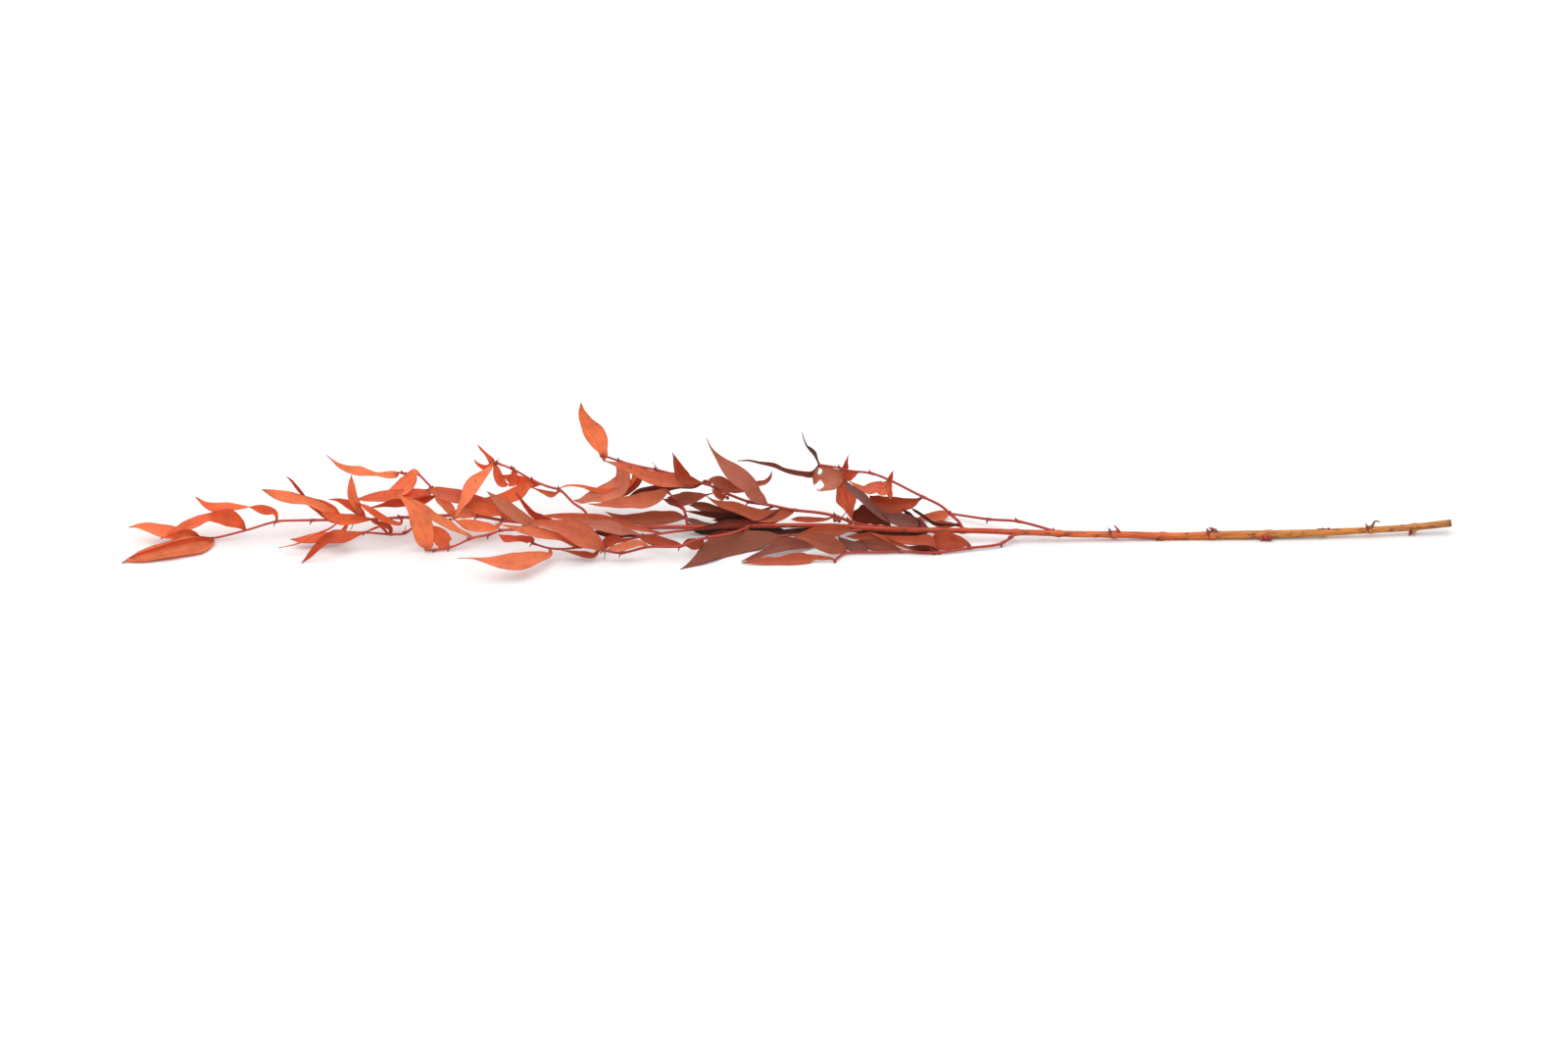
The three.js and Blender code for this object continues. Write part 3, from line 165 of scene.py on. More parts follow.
# Short dry twiglets, stubs and creases, as [course, radius, dye] for each
SPURS = {
    "woody_stem": [
        [[[398, 7.5, 4], [399.5, 11, 4], [401, 12.4, 4], [403.6, 11.6, 4]], 1.1, "withered"],
        [[[226.5, 5, -1.5], [225, 7, -2], [223, 9.3, -2.5]], 1, "red_twig"],
        [[[293, 4.8, 0], [290, 6.9, 0], [287.4, 7.8, 0]], 1.3, "withered"],
        [[[361, 6.5, 2], [365, 6.9, 2.2], [370, 7, 2.5]], 0.8, "withered"],
    ],
    "leading_shoot": [
        [[[-191.7, 13.3, 2.5], [-201, 14.5, 1], [-210.5, 16, 1]], 0.35, "scale"],
        [[[-257, 13.9, 5.5], [-261.5, 15, 5], [-265.3, 16, 5]], 0.45, "scale"],
        [[[-294.3, 12.5, 4.5], [-295.3, 8.8, 3], [-297, 6, 2]], 0.4, "scale"],
    ],
    "side_shoot_04": [
        [[[-87.3, 46.7, 34], [-89.6, 50.5, 34], [-91.9, 52.2, 34]], 0.4, "scale"],
        [[[36.5, 13.6, 9.5], [39, 16.4, 10], [41.2, 19.3, 11]], 0.5, "scale"],
    ],
    "side_shoot_05": [
        [[[-56.3, -12.9, -36.5], [-51, -11.9, -32], [-45.7, -10.9, -28]], 0.45, "dark_red"],
    ],
    "side_shoot_06": [[[[-123.8, -8.5, -33], [-123.6, -11.5, -33], [-124.2, -14, -33]], 0.4, "scale"]],
    "side_shoot_09": [[[[-196, 50.7, 30], [-196.3, 53, 30], [-195.7, 55.3, 30]], 0.35, "scale"]],
    "side_shoot_12": [[[[-259, 5, -4.5], [-259.4, 7.3, -5], [-258.6, 9.5, -5]], 0.35, "scale"]],
}

DYES = {
    "light_orange": "#f08a5a",
    "salmon": "#d98468",
    "bright_coral": "#e87c5c",
    "orange": "#ea7142",
    "deep_orange": "#dc5c33",
    "red_orange": "#cd4e30",
    "coral": "#de7751",
    "dusky_coral": "#c8745c",
    "rust": "#c65a38",
    "terracotta": "#b55b40",
    "dull_red": "#9c3f2d",
    "dark_red": "#84301f",
    "brown": "#9c4f3c",
    "grey_brown": "#965c54",
    "dark_brown": "#6b3426",
    # the colour of the blades that stand for deep shadow: painted shade
    "painted_shade": "#42201a",
    "withered": "#6d4a42",
    "red_twig": "#9c2f22",
    "orange_twig": "#ac3c26",
    "scale": "#7c2a22",
    "ochre": "#a8703c",
}


def blade(dye, at, width, turn, points, twist=0, flip=0.5, sweep=0.3, fold=0.3, wave=0.04):
    """A blade that grows at "at" along its shoot's course, and that "points" lead to its tip.
    "turn" turns it about its length, in degrees from facing the eye, and "twist" adds to that
    around "flip" of its length, over "sweep" of it. "width" is its greatest width, or else how
    wide the eye sees it at each point before the tip. Its margins stand "fold" of half its
    width over its midrib and ripple by "wave"."""
    return {
        "dye": dye, "at": at, "width": width, "turn": turn, "points": points, "twist": twist,
        "flip": flip, "sweep": sweep, "fold": fold, "wave": wave,
    }


def shoot(dye, radii, course, bracts, blades):
    """A shoot whose twig has two "radii", at its foot and its tip. Each of its "bracts" is
    [along, lean up]."""
    return {"dye": dye, "radii": radii, "course": course, "bracts": bracts, "blades": blades}


WOODY_STEM = {
    "course": [
        [452.3, 11, 10], [425, 8, 8], [398, 6.3, 5], [365, 4.5, 2.5], [332, 3.4, 1], [292, 2.75, 0.5],
        [265, 1.95, 0], [232, 3, -1], [198, 3.4, -2], [172, 4.3, -3], [156, 4.7, -3], [132, 5.7, -2],
        [98, 6, 0], [65, 7, 2], [32, 9, 4], [-2, 9.3, 5], [-28, 8.7, 5], [-68, 8.3, 4], [-102, 8, 3],
        [-135, 8.7, 2],
    ],
    "radii": [
        [452, 2.35], [398, 2], [345, 2.5], [292, 2.65], [232, 2.15], [198, 2], [132, 1.7], [-2, 1.4],
        [-135, 1.1],
    ],
    "nodes": [427, 398, 365, 328, 290, 256, 223, 185, 156, 120, 102],
    "bracts": [[427, -1], [398, 1], [328, -0.5], [290, 1], [256, -1], [223, 1]],
}

# Margins that have curled over onto their blade, given as blades are
CURLS = {
    "leading_shoot": [
        blade("deep_orange", -392, [1.6, 2.6, 3, 2.4, 1.4], 25, [
            [-393, -0.6, -10], [-402, -0.2, -14.3], [-414, -2.5, -20.5], [-427, -6.3, -27],
            [-440, -10.2, -33.3], [-447, -12.9, -36.5],
        ]),
    ],
}

# The shoots, from the tip's own to the cut end
SHOOTS = {}
SHOOTS["leading_shoot"] = shoot("orange", [1.1, 0.6], course=[
    [-135.5, 8.7, 2], [-162, 10, 2], [-192, 12.7, 3], [-210, 15.6, 5], [-235, 16, 6], [-262, 14.7, 6],
    [-288, 13.3, 5], [-313, 13, 4], [-335, 12.7, 3], [-347, 12, 2], [-368, 6, 0], [-390, 0.9, -2],
    [-400, 1.7, -3],
], bracts=[[-192, 1], [-210, -1], [-262, 1], [-322, -1], [-347, -1]], blades=[
    blade("salmon", -166, [5.8, 8.3, 9.3, 7.1, 4], 5, [
        [-171.7, 10.2, -1], [-180.3, 14.5, -3], [-188.7, 20.2, -4], [-194.8, 24.9, -4.5],
        [-199.3, 28.7, -4.5], [-203.9, 32.7, -5],
    ], wave=0.05),
    blade("red_orange", -150, [5.1, 4, 3, 1.7], 40, [
        [-166.7, 14.3, 4.7], [-172.5, 17, 5.6], [-177, 22, 6.6], [-181, 27.5, 7.8], [-184.5, 32, 9],
    ], wave=0.05),
    blade("bright_coral", -187, [5.5, 6.1, 7.7, 9.7, 8.8, 6.1], 5, [
        [-197, 23.3, 6.5], [-205, 25, 7.2], [-214.7, 27.5, 7.5], [-224, 29.2, 7.5], [-233, 31, 7.5],
        [-239, 32.7, 8], [-245.7, 34, 8.5],
    ], wave=0.05),
    blade("orange", -190, [6.1, 8.9, 8.6, 5.1], 5, [
        [-194.3, 18.3, 3], [-202.7, 20, 3], [-210.7, 21.2, 3.6], [-218, 22.3, 4.4], [-224.3, 23, 5],
    ], wave=0.05),
    blade("light_orange", -209, [4.2, 7.3, 7], -5, [
        [-211.7, 16.7, 3.7], [-217, 18, 1.9], [-222.7, 17.2, 1.5], [-227, 12.7, 1],
    ], wave=0.05),
    blade("light_orange", -193, [3.3, 6.3, 7.6, 6], -35, [
        [-197.7, 8.2, 1], [-204, 8.3, -1.1], [-211.7, 9.2, -2.7], [-219.2, 10.3, -3.9], [-226, 13, -5],
    ], wave=0.05),
    blade("orange", -262, [2.3, 3.4, 4.6, 4.4, 2.7], -30, [
        [-262.3, 10.8, 3.2], [-269, 11.8, 0.4], [-275.7, 14.8, -0.7], [-282, 19.1, -1.4],
        [-287.3, 22.3, -1.7], [-291, 24.5, -2],
    ], wave=0.05),
    blade("orange", -282, [3.7, 6.9, 7.7, 5.5], -8, [
        [-287, 13.5, 3.1], [-294.3, 13.6, -0.1], [-303.3, 13.5, -3.2], [-311, 15.7, -4.2],
        [-317.7, 19, -5],
    ], wave=0.05),
    blade("orange", -286, [5.4, 6.4, 4, 1.9], 35, [
        [-290.3, 18.2, 3.9], [-296, 22.8, 2.5], [-301.7, 25.5, 1.7], [-306.2, 26.8, 1.4],
        [-311.7, 27.1, 1],
    ], wave=0.05),
    blade("light_orange", -290, [6, 6.5, 5.7, 3.5], -25, [
        [-292.3, 22.8, 1.6], [-294.9, 28, -0.4], [-295.9, 33.7, -1.6], [-296.2, 38.8, -2.3],
        [-295.8, 43.7, -3],
    ], wave=0.05),
    blade("light_orange", -296, [5.4, 6, 5.4, 7.9, 6.7, 3.7], -30, [
        [-305.7, 15.7, 5.3], [-316.3, 22, 6.1], [-326.7, 26.1, 7.2], [-336, 28, 8.1], [-345.7, 30.1, 9],
        [-352.3, 32.1, 9.6], [-357, 33.8, 10],
    ], fold=0.5, wave=0.05),
    blade("orange", -301, [9.6, 10.6, 7.5, 4], 10, [
        [-307, 15.3, 6.2], [-313.7, 20.2, 8.3], [-321, 24, 9.7], [-327.7, 27.5, 10.9], [-333, 31, 12],
    ], wave=0.05),
    blade("red_orange", -310, [1.5, 2.1, 2.1, 1.4], 40, [
        [-322.3, 21.7, 10.6], [-329.7, 31, 14.4], [-333.6, 35.8, 15], [-336.8, 39.8, 15.6],
        [-340.1, 42.5, 16],
    ], wave=0.03),
    blade("orange", -297, [4.7, 6.5, 6.2, 3.9], -40, [
        [-305, 2.3, -7.6], [-315.7, 1.8, -11.4], [-323.3, 0.3, -12.6], [-331, -0.6, -13.4],
        [-337.5, 0, -14],
    ], wave=0.05),
    blade("light_orange", -303, 4, 75, [
        [-311, 7, -9], [-321.7, 2.7, -16], [-333, -3.2, -22], [-345.7, -6, -23],
    ], wave=0.05),
    blade("orange", -347, [2.4, 4.6, 6.3, 4, 0.8, 3.3, 5.5, 6.1, 3.9, 1.9], 40, [
        [-347, 16, 1.4], [-349.2, 18.7, 1], [-355.3, 19.9, 1.6], [-360.8, 21.1, 2.2], [-365, 21.7, 2.7],
        [-371.7, 21.8, 3.6], [-380, 22.1, 4.6], [-389.7, 21.7, 5.9], [-395.7, 23.8, 6.8],
        [-399.2, 26.5, 7.5], [-402.3, 28.8, 8],
    ], twist=100, flip=0.4, sweep=0.16, wave=0.05),
    blade("orange", -368, [7, 11.5, 8.7, 5.2, 7.3, 6.7, 4.3, 2], 38, [
        [-371.8, 10.2, 0.8], [-379.3, 14.2, 1], [-387.3, 15.3, 0.1], [-393.7, 14.8, -0.7],
        [-400.7, 12.2, -1.7], [-408.3, 9.3, -2.7], [-415.3, 5.7, -3.6], [-421.3, 2.9, -4.4],
        [-426, 0.1, -5],
    ], twist=-76, flip=0.42, sweep=0.12, wave=0.05),
    blade("light_orange", -399, [5.5, 8.9, 8.8, 6, 2.7], -30, [
        [-409, 3.3, -2.7], [-417.3, 4.4, -3.8], [-426.7, 6.2, -5], [-435.3, 8.3, -5], [-441.8, 8.9, -5.4],
        [-447.7, 8, -6],
    ], fold=0.5, wave=0.06),
    blade("orange", -399.5, [3.3, 5.5, 4.7, 2.1], 10, [
        [-402, 3, -4], [-406.3, 3.9, -6], [-413, 3.4, -8], [-419.7, 2.1, -10], [-425, 0.5, -12],
    ], wave=0.05),
    blade("light_orange", -390, [5.8, 12.4, 11.8, 10.5, 6.9, 2.3], -45, [
        [-392.5, -2.5, -7.7], [-402, -4.8, -17.8], [-414, -6.9, -23.7], [-427.3, -10.2, -29.7],
        [-440, -12.8, -34.7], [-447.7, -14.2, -37.3], [-452.3, -16.3, -39],
    ], fold=0.55, wave=0.06),
])
# a long thin twig that runs back, with one blade at its end
SHOOTS["side_shoot_01"] = shoot("terracotta", [0.9, 0.7], course=[
    [185, 4.2, -2.5], [178, 6.7, 0], [158, 12, 8], [138, 13.5, 20], [112, 17.3, 33.5],
], bracts=[[183, 1], [158, 1], [138, -1]], blades=[
    blade("coral", 113, [4, 7.3, 6.3, 4.5, 3.9, 4.4], -8, [
        [110, 17.6, 32.1], [105.7, 16.2, 30.8], [99, 15.1, 28.9], [93.7, 14.5, 27.3], [89, 12.5, 25.1],
        [83.3, 10.8, 22.7], [77, 9.7, 20],
    ]),
])
# the low shoot in front
SHOOTS["side_shoot_02"] = shoot("terracotta", [0.9, 0.7], course=[
    [156, 4, -4], [152, 0.7, -8], [145, -3.3, -13], [125, -6, -19], [102, -9, -24.5], [78, -8.3, -23],
    [65, -8.7, -24], [40, -9.5, -26], [35, -12.5, -33], [32.5, -14.7, -38],
], bracts=[[153, 1], [147, -1], [125, 1], [102, -1], [78, 1]], blades=[
    blade("rust", 126, [3.8, 9, 12.3, 12.4, 10.3], 15, [
        [122.7, -3.3, -18], [117.3, -2.3, -17], [111.3, -2.3, -16.1], [105, -3, -16.7],
        [99.7, -3.4, -17.2], [92.3, -2, -18],
    ]),
    blade("rust", 102, [8.8, 6.7, 5.8, 5.2, 2.9, 1.6], -10, [
        [96.3, -1.7, -21], [88, -0.9, -18], [80, -0.6, -15.2], [72.7, -0.1, -13.3], [65.7, 1.5, -12],
        [60.3, 3.3, -10.9], [55.7, 5.1, -10],
    ]),
    # painted shade: a dark blade that stands for the shadow under the blades above it
    blade("dark_brown", 104, [3, 4.1, 1.8], 50, [
        [98.3, -6.5, -23.7], [92, -6, -23.5], [86.7, -5.5, -23.2], [81.7, -5, -23],
    ], wave=0.02),
    blade("rust", 92, [4.7, 4.6, 3.4, 1.5], 10, [
        [57.3, 2, -9.1], [50.7, 1.8, -9.4], [46, 1.8, -9.7], [43, 1.9, -9.9], [40.7, 2, -10],
    ], wave=0.03),
    blade("brown", 80, [3.4, 7.3, 7.9, 6.5, 2.8], 15, [
        [74.7, -6.7, -22.7], [67.7, -4.8, -22.1], [60, -3.9, -21.4], [54.3, -3.2, -20.8],
        [50.3, -1.8, -20.4], [46.7, -1.3, -20],
    ], wave=0.03),
    blade("grey_brown", 56, [4.8, 7.1, 6.8, 5.2], 20, [
        [51.7, -6.7, -23.9], [47, -5.3, -23.2], [42.3, -4, -21.7], [38.3, -1.8, -20], [35, 2.3, -18],
    ], wave=0.03),
    blade("terracotta", 41, [5.2, 9.5, 12.5, 10.9, 6.3, 2.9], -10, [
        [38.8, -7.3, -26.6], [34.7, -5.7, -27.6], [29, -3.6, -28.9], [22, -1.2, -29], [15, 0.9, -28.7],
        [8, 1.9, -26.7], [1.7, 2.7, -25],
    ]),
    blade("rust", 33, [1.9, 3, 3.7, 7.6, 8.1, 5.4, 5.1, 2.8], -15, [
        [30.3, -13.3, -36.9], [24, -12.7, -36.7], [19, -12.3, -36.5], [13.3, -13.6, -37.6],
        [3, -14, -39.8], [-6.7, -14.9, -40.5], [-16.3, -14.8, -41], [-24.3, -15.3, -41],
        [-30.3, -16.5, -41],
    ]),
])
# the arching shoot behind, whose blades hang
SHOOTS["side_shoot_03"] = shoot("rust", [0.9, 0.6], course=[
    [120, 7.2, -0.5], [117, 12, 1], [112, 16.7, 3], [105, 22.7, 6], [93, 28.7, 10], [85, 32.7, 12],
    [72, 39.3, 15], [58, 44.7, 18], [42, 46.7, 20], [36, 48.5, 21], [22, 50.7, 23],
], bracts=[[112, 1], [93, -1], [71, 1], [58, 1], [37, 1]], blades=[
    blade("rust", 118, [1.9, 4, 4.9, 2], -15, [
        [114.7, 9.9, 2.7], [110.7, 9.8, 5.3], [105.3, 10.1, 8.1], [99.7, 10.7, 10.3], [95.7, 12.7, 12],
    ]),
    blade("dark_brown", 119, [1.1, 1.8, 1.7, 1.8, 1.8, 1.5], 60, [
        [110.2, 9.8, 4], [103.5, 10.1, 6.7], [99, 11.5, 8.4], [95.1, 14.2, 9.6], [91, 17.2, 10.6],
        [87.4, 19.4, 11.4], [84.9, 21.1, 12],
    ], wave=0.02),
    blade("rust", 93, [2.4, 6.1, 8.6, 12.6, 11.8, 10.9, 8.6], 20, [
        [89.8, 26.9, 10.6], [86, 25.1, 11.3], [80.3, 23.7, 12.2], [74, 22.9, 13.1], [68, 22.8, 14],
        [63, 24.4, 14.8], [59.7, 26.6, 15.4], [56.5, 29.6, 16],
    ], fold=0.5, wave=0.03),
    blade("coral", 70, [9.9, 7.8, 7.5, 3.9, 2.6], -20, [
        [66, 35, 14.9], [61.3, 35.3, 14.5], [56.2, 34.3, 14.1], [52.1, 34.3, 14.2], [48, 36.3, 14.5],
        [41.7, 39.9, 15],
    ]),
    blade("red_orange", 71, [3.2, 2.1], -20, [
        [70.8, 41.2, 15.1], [71.4, 43.7, 15], [72.5, 46.5, 15],
    ], wave=0.02),
    blade("orange", 71, [3.2, 3.8, 3.7], 10, [
        [70.3, 37.5, 14.6], [69.9, 33.3, 13.5], [70.5, 29.8, 13.2], [71.3, 26.7, 13],
    ]),
    blade("red_orange", 50, [2, 5, 6.7, 6.5], 10, [
        [47.8, 45.3, 18.7], [45.3, 44.2, 18.2], [42.8, 43.3, 18], [40.7, 41.5, 18], [39.3, 38.7, 18],
    ], wave=0.03),
    blade("dusky_coral", 41, [10.4, 15.7, 17.2, 17, 9.7], -15, [
        [35.7, 43.2, 19.6], [31.3, 41.7, 19.3], [26.7, 41.4, 18.9], [22.2, 41.8, 18.5],
        [18.8, 42.5, 18.1], [17.3, 42.7, 18],
    ]),
    blade("red_orange", 39, [4, 2.5, 1.1], -20, [
        [40, 48.7, 19.9], [40.5, 51.5, 18.9], [41.4, 54.7, 18.4], [41.9, 57.3, 18],
    ], wave=0.02),
    blade("coral", 37, [2.7, 8.6, 13.7, 13, 7.2, 3.3], 0, [
        [37.7, 44, 20.2], [38.4, 36.7, 19], [40.2, 29.2, 18.6], [41.2, 25.8, 18.5], [42.6, 20.8, 18.3],
        [44.3, 15.8, 18.1], [46.2, 11.5, 18],
    ]),
    blade("brown", 22.5, [4.2, 3.6, 3.3, 2.7, 3, 1.7, 1.1], 45, [
        [17.5, 44.2, 22.1], [11.3, 44.4, 21.4], [4.7, 45.5, 20.7], [-2, 47.3, 20], [-8.5, 50.3, 19.1],
        [-18, 51.9, 18], [-25.7, 53.5, 18], [-33.7, 53.2, 18],
    ], wave=0.02),
    blade("withered", 22.3, [1.1, 1.7, 2.7, 2.5, 1.1, 0.7], 40, [
        [21.7, 52, 23], [20.3, 55.3, 23.4], [19, 58.4, 24.1], [16.4, 61.1, 24.8], [13.9, 63.4, 25.5],
        [11.9, 67.8, 26.3], [10.7, 72.5, 27],
    ], wave=0.02),
])
# the longest shoot, which climbs from the stem towards the tip
SHOOTS["side_shoot_04"] = shoot("terracotta", [1.1, 0.6], course=[
    [102, 6.6, 2], [92, 7, 4.5], [68, 8, 6], [55, 9.3, 6], [48, 10.7, 7], [40, 13.3, 9], [32, 16, 11],
    [22, 18, 13], [4, 20, 16], [-12, 23.3, 18], [-25, 25.3, 20], [-38, 30, 23], [-54, 37.3, 26],
    [-68, 40.7, 29], [-80, 45, 32], [-88, 47, 34], [-102, 50, 37], [-114, 53.3, 40], [-122, 56, 42],
    [-126, 57.3, 43],
], bracts=[[43, 1], [34, 1], [6, -1], [-25, -1], [-40, -1], [-55, 1], [-88, 1], [-113, 1]], blades=[
    blade("grey_brown", 97, [8.1, 9.8, 5.9, 5.2, 5.5, 6.3, 5.8, 3.6], 5, [
        [90.3, 9.5, 5], [79.3, 12.7, 7], [68.7, 14.8, 7], [60.7, 19.5, 7], [55.7, 24.2, 7],
        [51.7, 28.7, 7.4], [46.3, 32.4, 8.3], [42, 36.5, 9.2], [38.3, 41, 10],
    ], wave=0.03),
    blade("dark_brown", 90, [3.8, 3.6, 3.1], 45, [
        [89, 11, 6.7], [85.5, 14.3, 9.1], [82.7, 17.2, 9.9], [79, 20.3, 11],
    ], wave=0.02),
    blade("dark_red", 71, [6, 10.2, 12.3, 10.1], 40, [
        [66.7, 12.2, 8], [58.7, 15.2, 9.9], [51.7, 17, 10.6], [47.7, 18.3, 10.9], [46, 19.3, 11],
    ], wave=0.03),
    blade("rust", 33, [1.9, 3.3, 4, 3.3], 0, [
        [27, 13.6, 11.5], [21.3, 13.3, 12.1], [14, 13.3, 12.4], [7.3, 13.6, 12.8], [2.7, 13.3, 13],
    ], wave=0.03),
    blade("rust", 5, [3.9, 7.5, 9.1, 8.9, 7.5, 7.2, 5, 2.1], -20, [
        [2, 18.2, 14.9], [-4, 16.7, 13.1], [-11.7, 15.7, 11.5], [-20, 16.3, 10.3], [-27.7, 19, 10],
        [-36, 22.1, 10.1], [-43.3, 23.5, 10.8], [-49.5, 25.9, 11.4], [-54.7, 29.5, 12],
    ]),
    blade("dark_brown", 5, [2.1, 3.9, 6.6, 6], 40, [
        [-8.7, 11.7, 17], [-19, 11.5, 16], [-30.7, 13.5, 14.5], [-41.7, 13, 13.5], [-50.3, 13, 13],
    ]),
    blade("dark_red", -3, [3.4, 4.2, 4.2, 3.6, 2.1], 10, [
        [-18.7, 11, 7.2], [-30.3, 11.3, 1.5], [-41, 11, -2.2], [-50.3, 8.7, -4.3], [-59.3, 7, -6.2],
        [-68.3, 5.7, -8],
    ]),
    blade("dark_red", 0, [4.7, 5.2, 4, 2.3], 40, [
        [-28.3, 15, 15.6], [-41, 15.5, 16.9], [-52.3, 16.9, 18.1], [-61.3, 18.1, 19.1], [-69, 19.1, 20],
    ]),
    blade("brown", -8, [4.1, 4.7, 5.8, 6.5, 4.7], 20, [
        [-27.3, 16, 18.2], [-38.7, 17.7, 19.3], [-47, 19.5, 20.2], [-55.7, 21.8, 21], [-61.3, 23, 21.5],
        [-66.3, 23, 22],
    ]),
    blade("dusky_coral", -13, [6.6, 9.8, 11.1, 13, 11.3, 7, 3.1, 1.3], -20, [
        [-16.7, 26.7, 17.7], [-21.2, 30.3, 17.2], [-25.5, 36.7, 17], [-31.5, 41.5, 17],
        [-37.5, 46.9, 17.9], [-43, 51.7, 18.9], [-47.9, 57.3, 20.1], [-51.3, 62, 21.1], [-54.5, 69, 23],
    ]),
    blade("dusky_coral", -45, [1.2, 4.9, 8.4, 9.3, 4.1], 5, [
        [-54, 30.2, 27.8], [-59, 29.3, 29.5], [-65.3, 28.2, 31.5], [-71.7, 27.3, 33.3],
        [-76.7, 28.3, 34.7], [-81.7, 28.3, 36],
    ]),
    blade("rust", -51, [4.3, 4.8], 0, [
        [-42.3, 28, 20.9], [-46.7, 30.4, 20], [-51, 34, 19],
    ]),
    blade("terracotta", -54, [3.7, 8.7, 7.6, 5.4, 4.7, 4, 3.2, 2.2], 10, [
        [-51.3, 39.8, 26], [-46, 39, 26], [-40.3, 36.1, 26.5], [-34, 34, 27.4], [-26.7, 35, 28.5],
        [-19.8, 37.7, 29.6], [-14.5, 38.8, 30.5], [-11.3, 41.9, 31.2], [-9.9, 46.3, 32],
    ]),
    blade("dark_red", -57, [4.3, 4.3, 5.3, 5.4, 4.7], 50, [
        [-64.3, 36.5, 29.5], [-73.7, 36.5, 32], [-83.7, 34.7, 33.8], [-92.7, 33.3, 35.3],
        [-100, 32, 36.6], [-107.7, 28.7, 38],
    ]),
    blade("rust", -58, [4.7, 9.2, 7.4, 4.5, 1.8], 0, [
        [-63.8, 39.2, 24.2], [-69.8, 42, 21.4], [-72.9, 47.2, 19.3], [-75, 52.2, 18.6],
        [-76.3, 56.1, 18.3], [-77.9, 59.2, 18],
    ], fold=0.8, wave=0.03),
    blade("coral", -58, [7.3, 10, 9.8, 8.4, 6.6, 5.6, 2.5], -22, [
        [-64.3, 39, 25.8], [-75, 40, 24], [-85, 40.5, 22.3], [-95, 43.3, 20.8], [-104.7, 47.5, 20.2],
        [-111.7, 49.7, 20], [-117.3, 51.4, 20], [-125, 53.5, 20],
    ], fold=0.5),
    blade("light_orange", -98, [3.6, 3, 3.3, 2.1, 1.2, 1], 25, [
        [-109, 35.7, 39.2], [-121, 32.7, 37.9], [-131.7, 33.8, 37.4], [-138, 35.8, 37.1],
        [-145.7, 36.6, 36.7], [-151, 36, 36.3], [-155.7, 33.9, 36],
    ], wave=0.02),
    blade("rust", -106, [7.2, 7, 4.7, 2.5], 10, [
        [-101, 45.3, 42.4], [-102, 40, 43], [-104.8, 35.1, 42.8], [-108.5, 31.2, 42.5], [-115, 28, 42],
    ]),
    blade("salmon", -115, [5.7, 8.8, 11.1, 13.6, 12.4, 7.3, 3.7], -25, [
        [-113.2, 50.7, 39.9], [-111.4, 45.3, 39.2], [-111.5, 40, 38.2], [-115.7, 34.6, 36.9],
        [-124, 31.2, 36.3], [-133, 28.8, 35.7], [-140, 26, 35.3], [-145, 26.5, 35],
    ]),
    blade("light_orange", -125, [5.3, 6.4, 11.4, 13.7, 11.8, 8.1, 4.8, 2.5], -32, [
        [-124.3, 55.5, 43], [-124.8, 59.7, 43.7], [-126.7, 65.2, 44.9], [-129.5, 70.3, 46.3],
        [-133.6, 75.6, 47.9], [-137.1, 81.2, 49.7], [-139.1, 86.3, 51.2], [-139.6, 89.7, 52.1],
        [-139.8, 93, 53],
    ], fold=0.5, wave=0.03),
    # painted shade: a dark blade that stands for the shaded underside of the stem and the deep shadow
    # below it
    blade("dark_brown", 100.5, [3.3, 4.7, 4.7, 4.4], -20, [
        [91.7, 4, 3.8], [79.7, 3.3, 4.2], [66.7, 3.7, 4.5], [56.7, 4.2, 4.8], [43.7, 5.3, 5.5],
    ], wave=0.03),
])
# a short twig in front of the stem
SHOOTS["side_shoot_05"] = shoot("terracotta", [0.9, 0.7], course=[
    [50, 6.2, -0.5], [32, 4.7, -6], [12, 3.3, -9], [-5, 2, -12],
], bracts=[[32, 1], [12, -1]], blades=[
    blade("rust", 46, [4.2, 8.2, 8.9, 7.8, 4, 1.5], -5, [
        [40.3, 6.3, -5], [35.3, 6.1, -7.8], [29, 5.8, -11.4], [21.3, 5.2, -12.5], [13, 4, -13.1],
        [7, 2.9, -13.6], [1.7, 3, -14],
    ]),
    blade("brown", 27, [5.8, 7.2, 9.4, 8.8, 4.5, 3.2], -22, [
        [17.7, -2.2, -13.2], [9.3, -2.9, -17.8], [0.7, -3, -21.9], [-6.3, -4.7, -24.7],
        [-14.3, -8.9, -28.5], [-22, -11.8, -32.9], [-31, -15.3, -38],
    ], wave=0.03),
    blade("brown", -4, [8, 13.2, 16.5, 16, 13.8, 7.7, 3.3], -30, [
        [-11.3, 1.3, -12.3], [-20.7, -0.5, -13], [-31, -2.5, -15], [-41.3, -5.1, -20.8],
        [-51.3, -8.2, -29.2], [-59.3, -13.7, -38.7], [-66, -17.7, -44.3], [-72.3, -21, -49],
    ], fold=0.15, wave=0.03),
    # painted shade: a near-black blade that stands for the deep shadow between the stem and the blades
    # under it
    blade("painted_shade", 49, [3, 5, 6, 5.4, 3.7], 10, [
        [41.7, 6.2, -1.5], [30.3, 5.8, -2], [18.3, 5, -2.5], [6, 4.7, -2.5], [-2.7, 4.5, -2.5],
        [-9.7, 4, -2.5],
    ], wave=0.03),
])
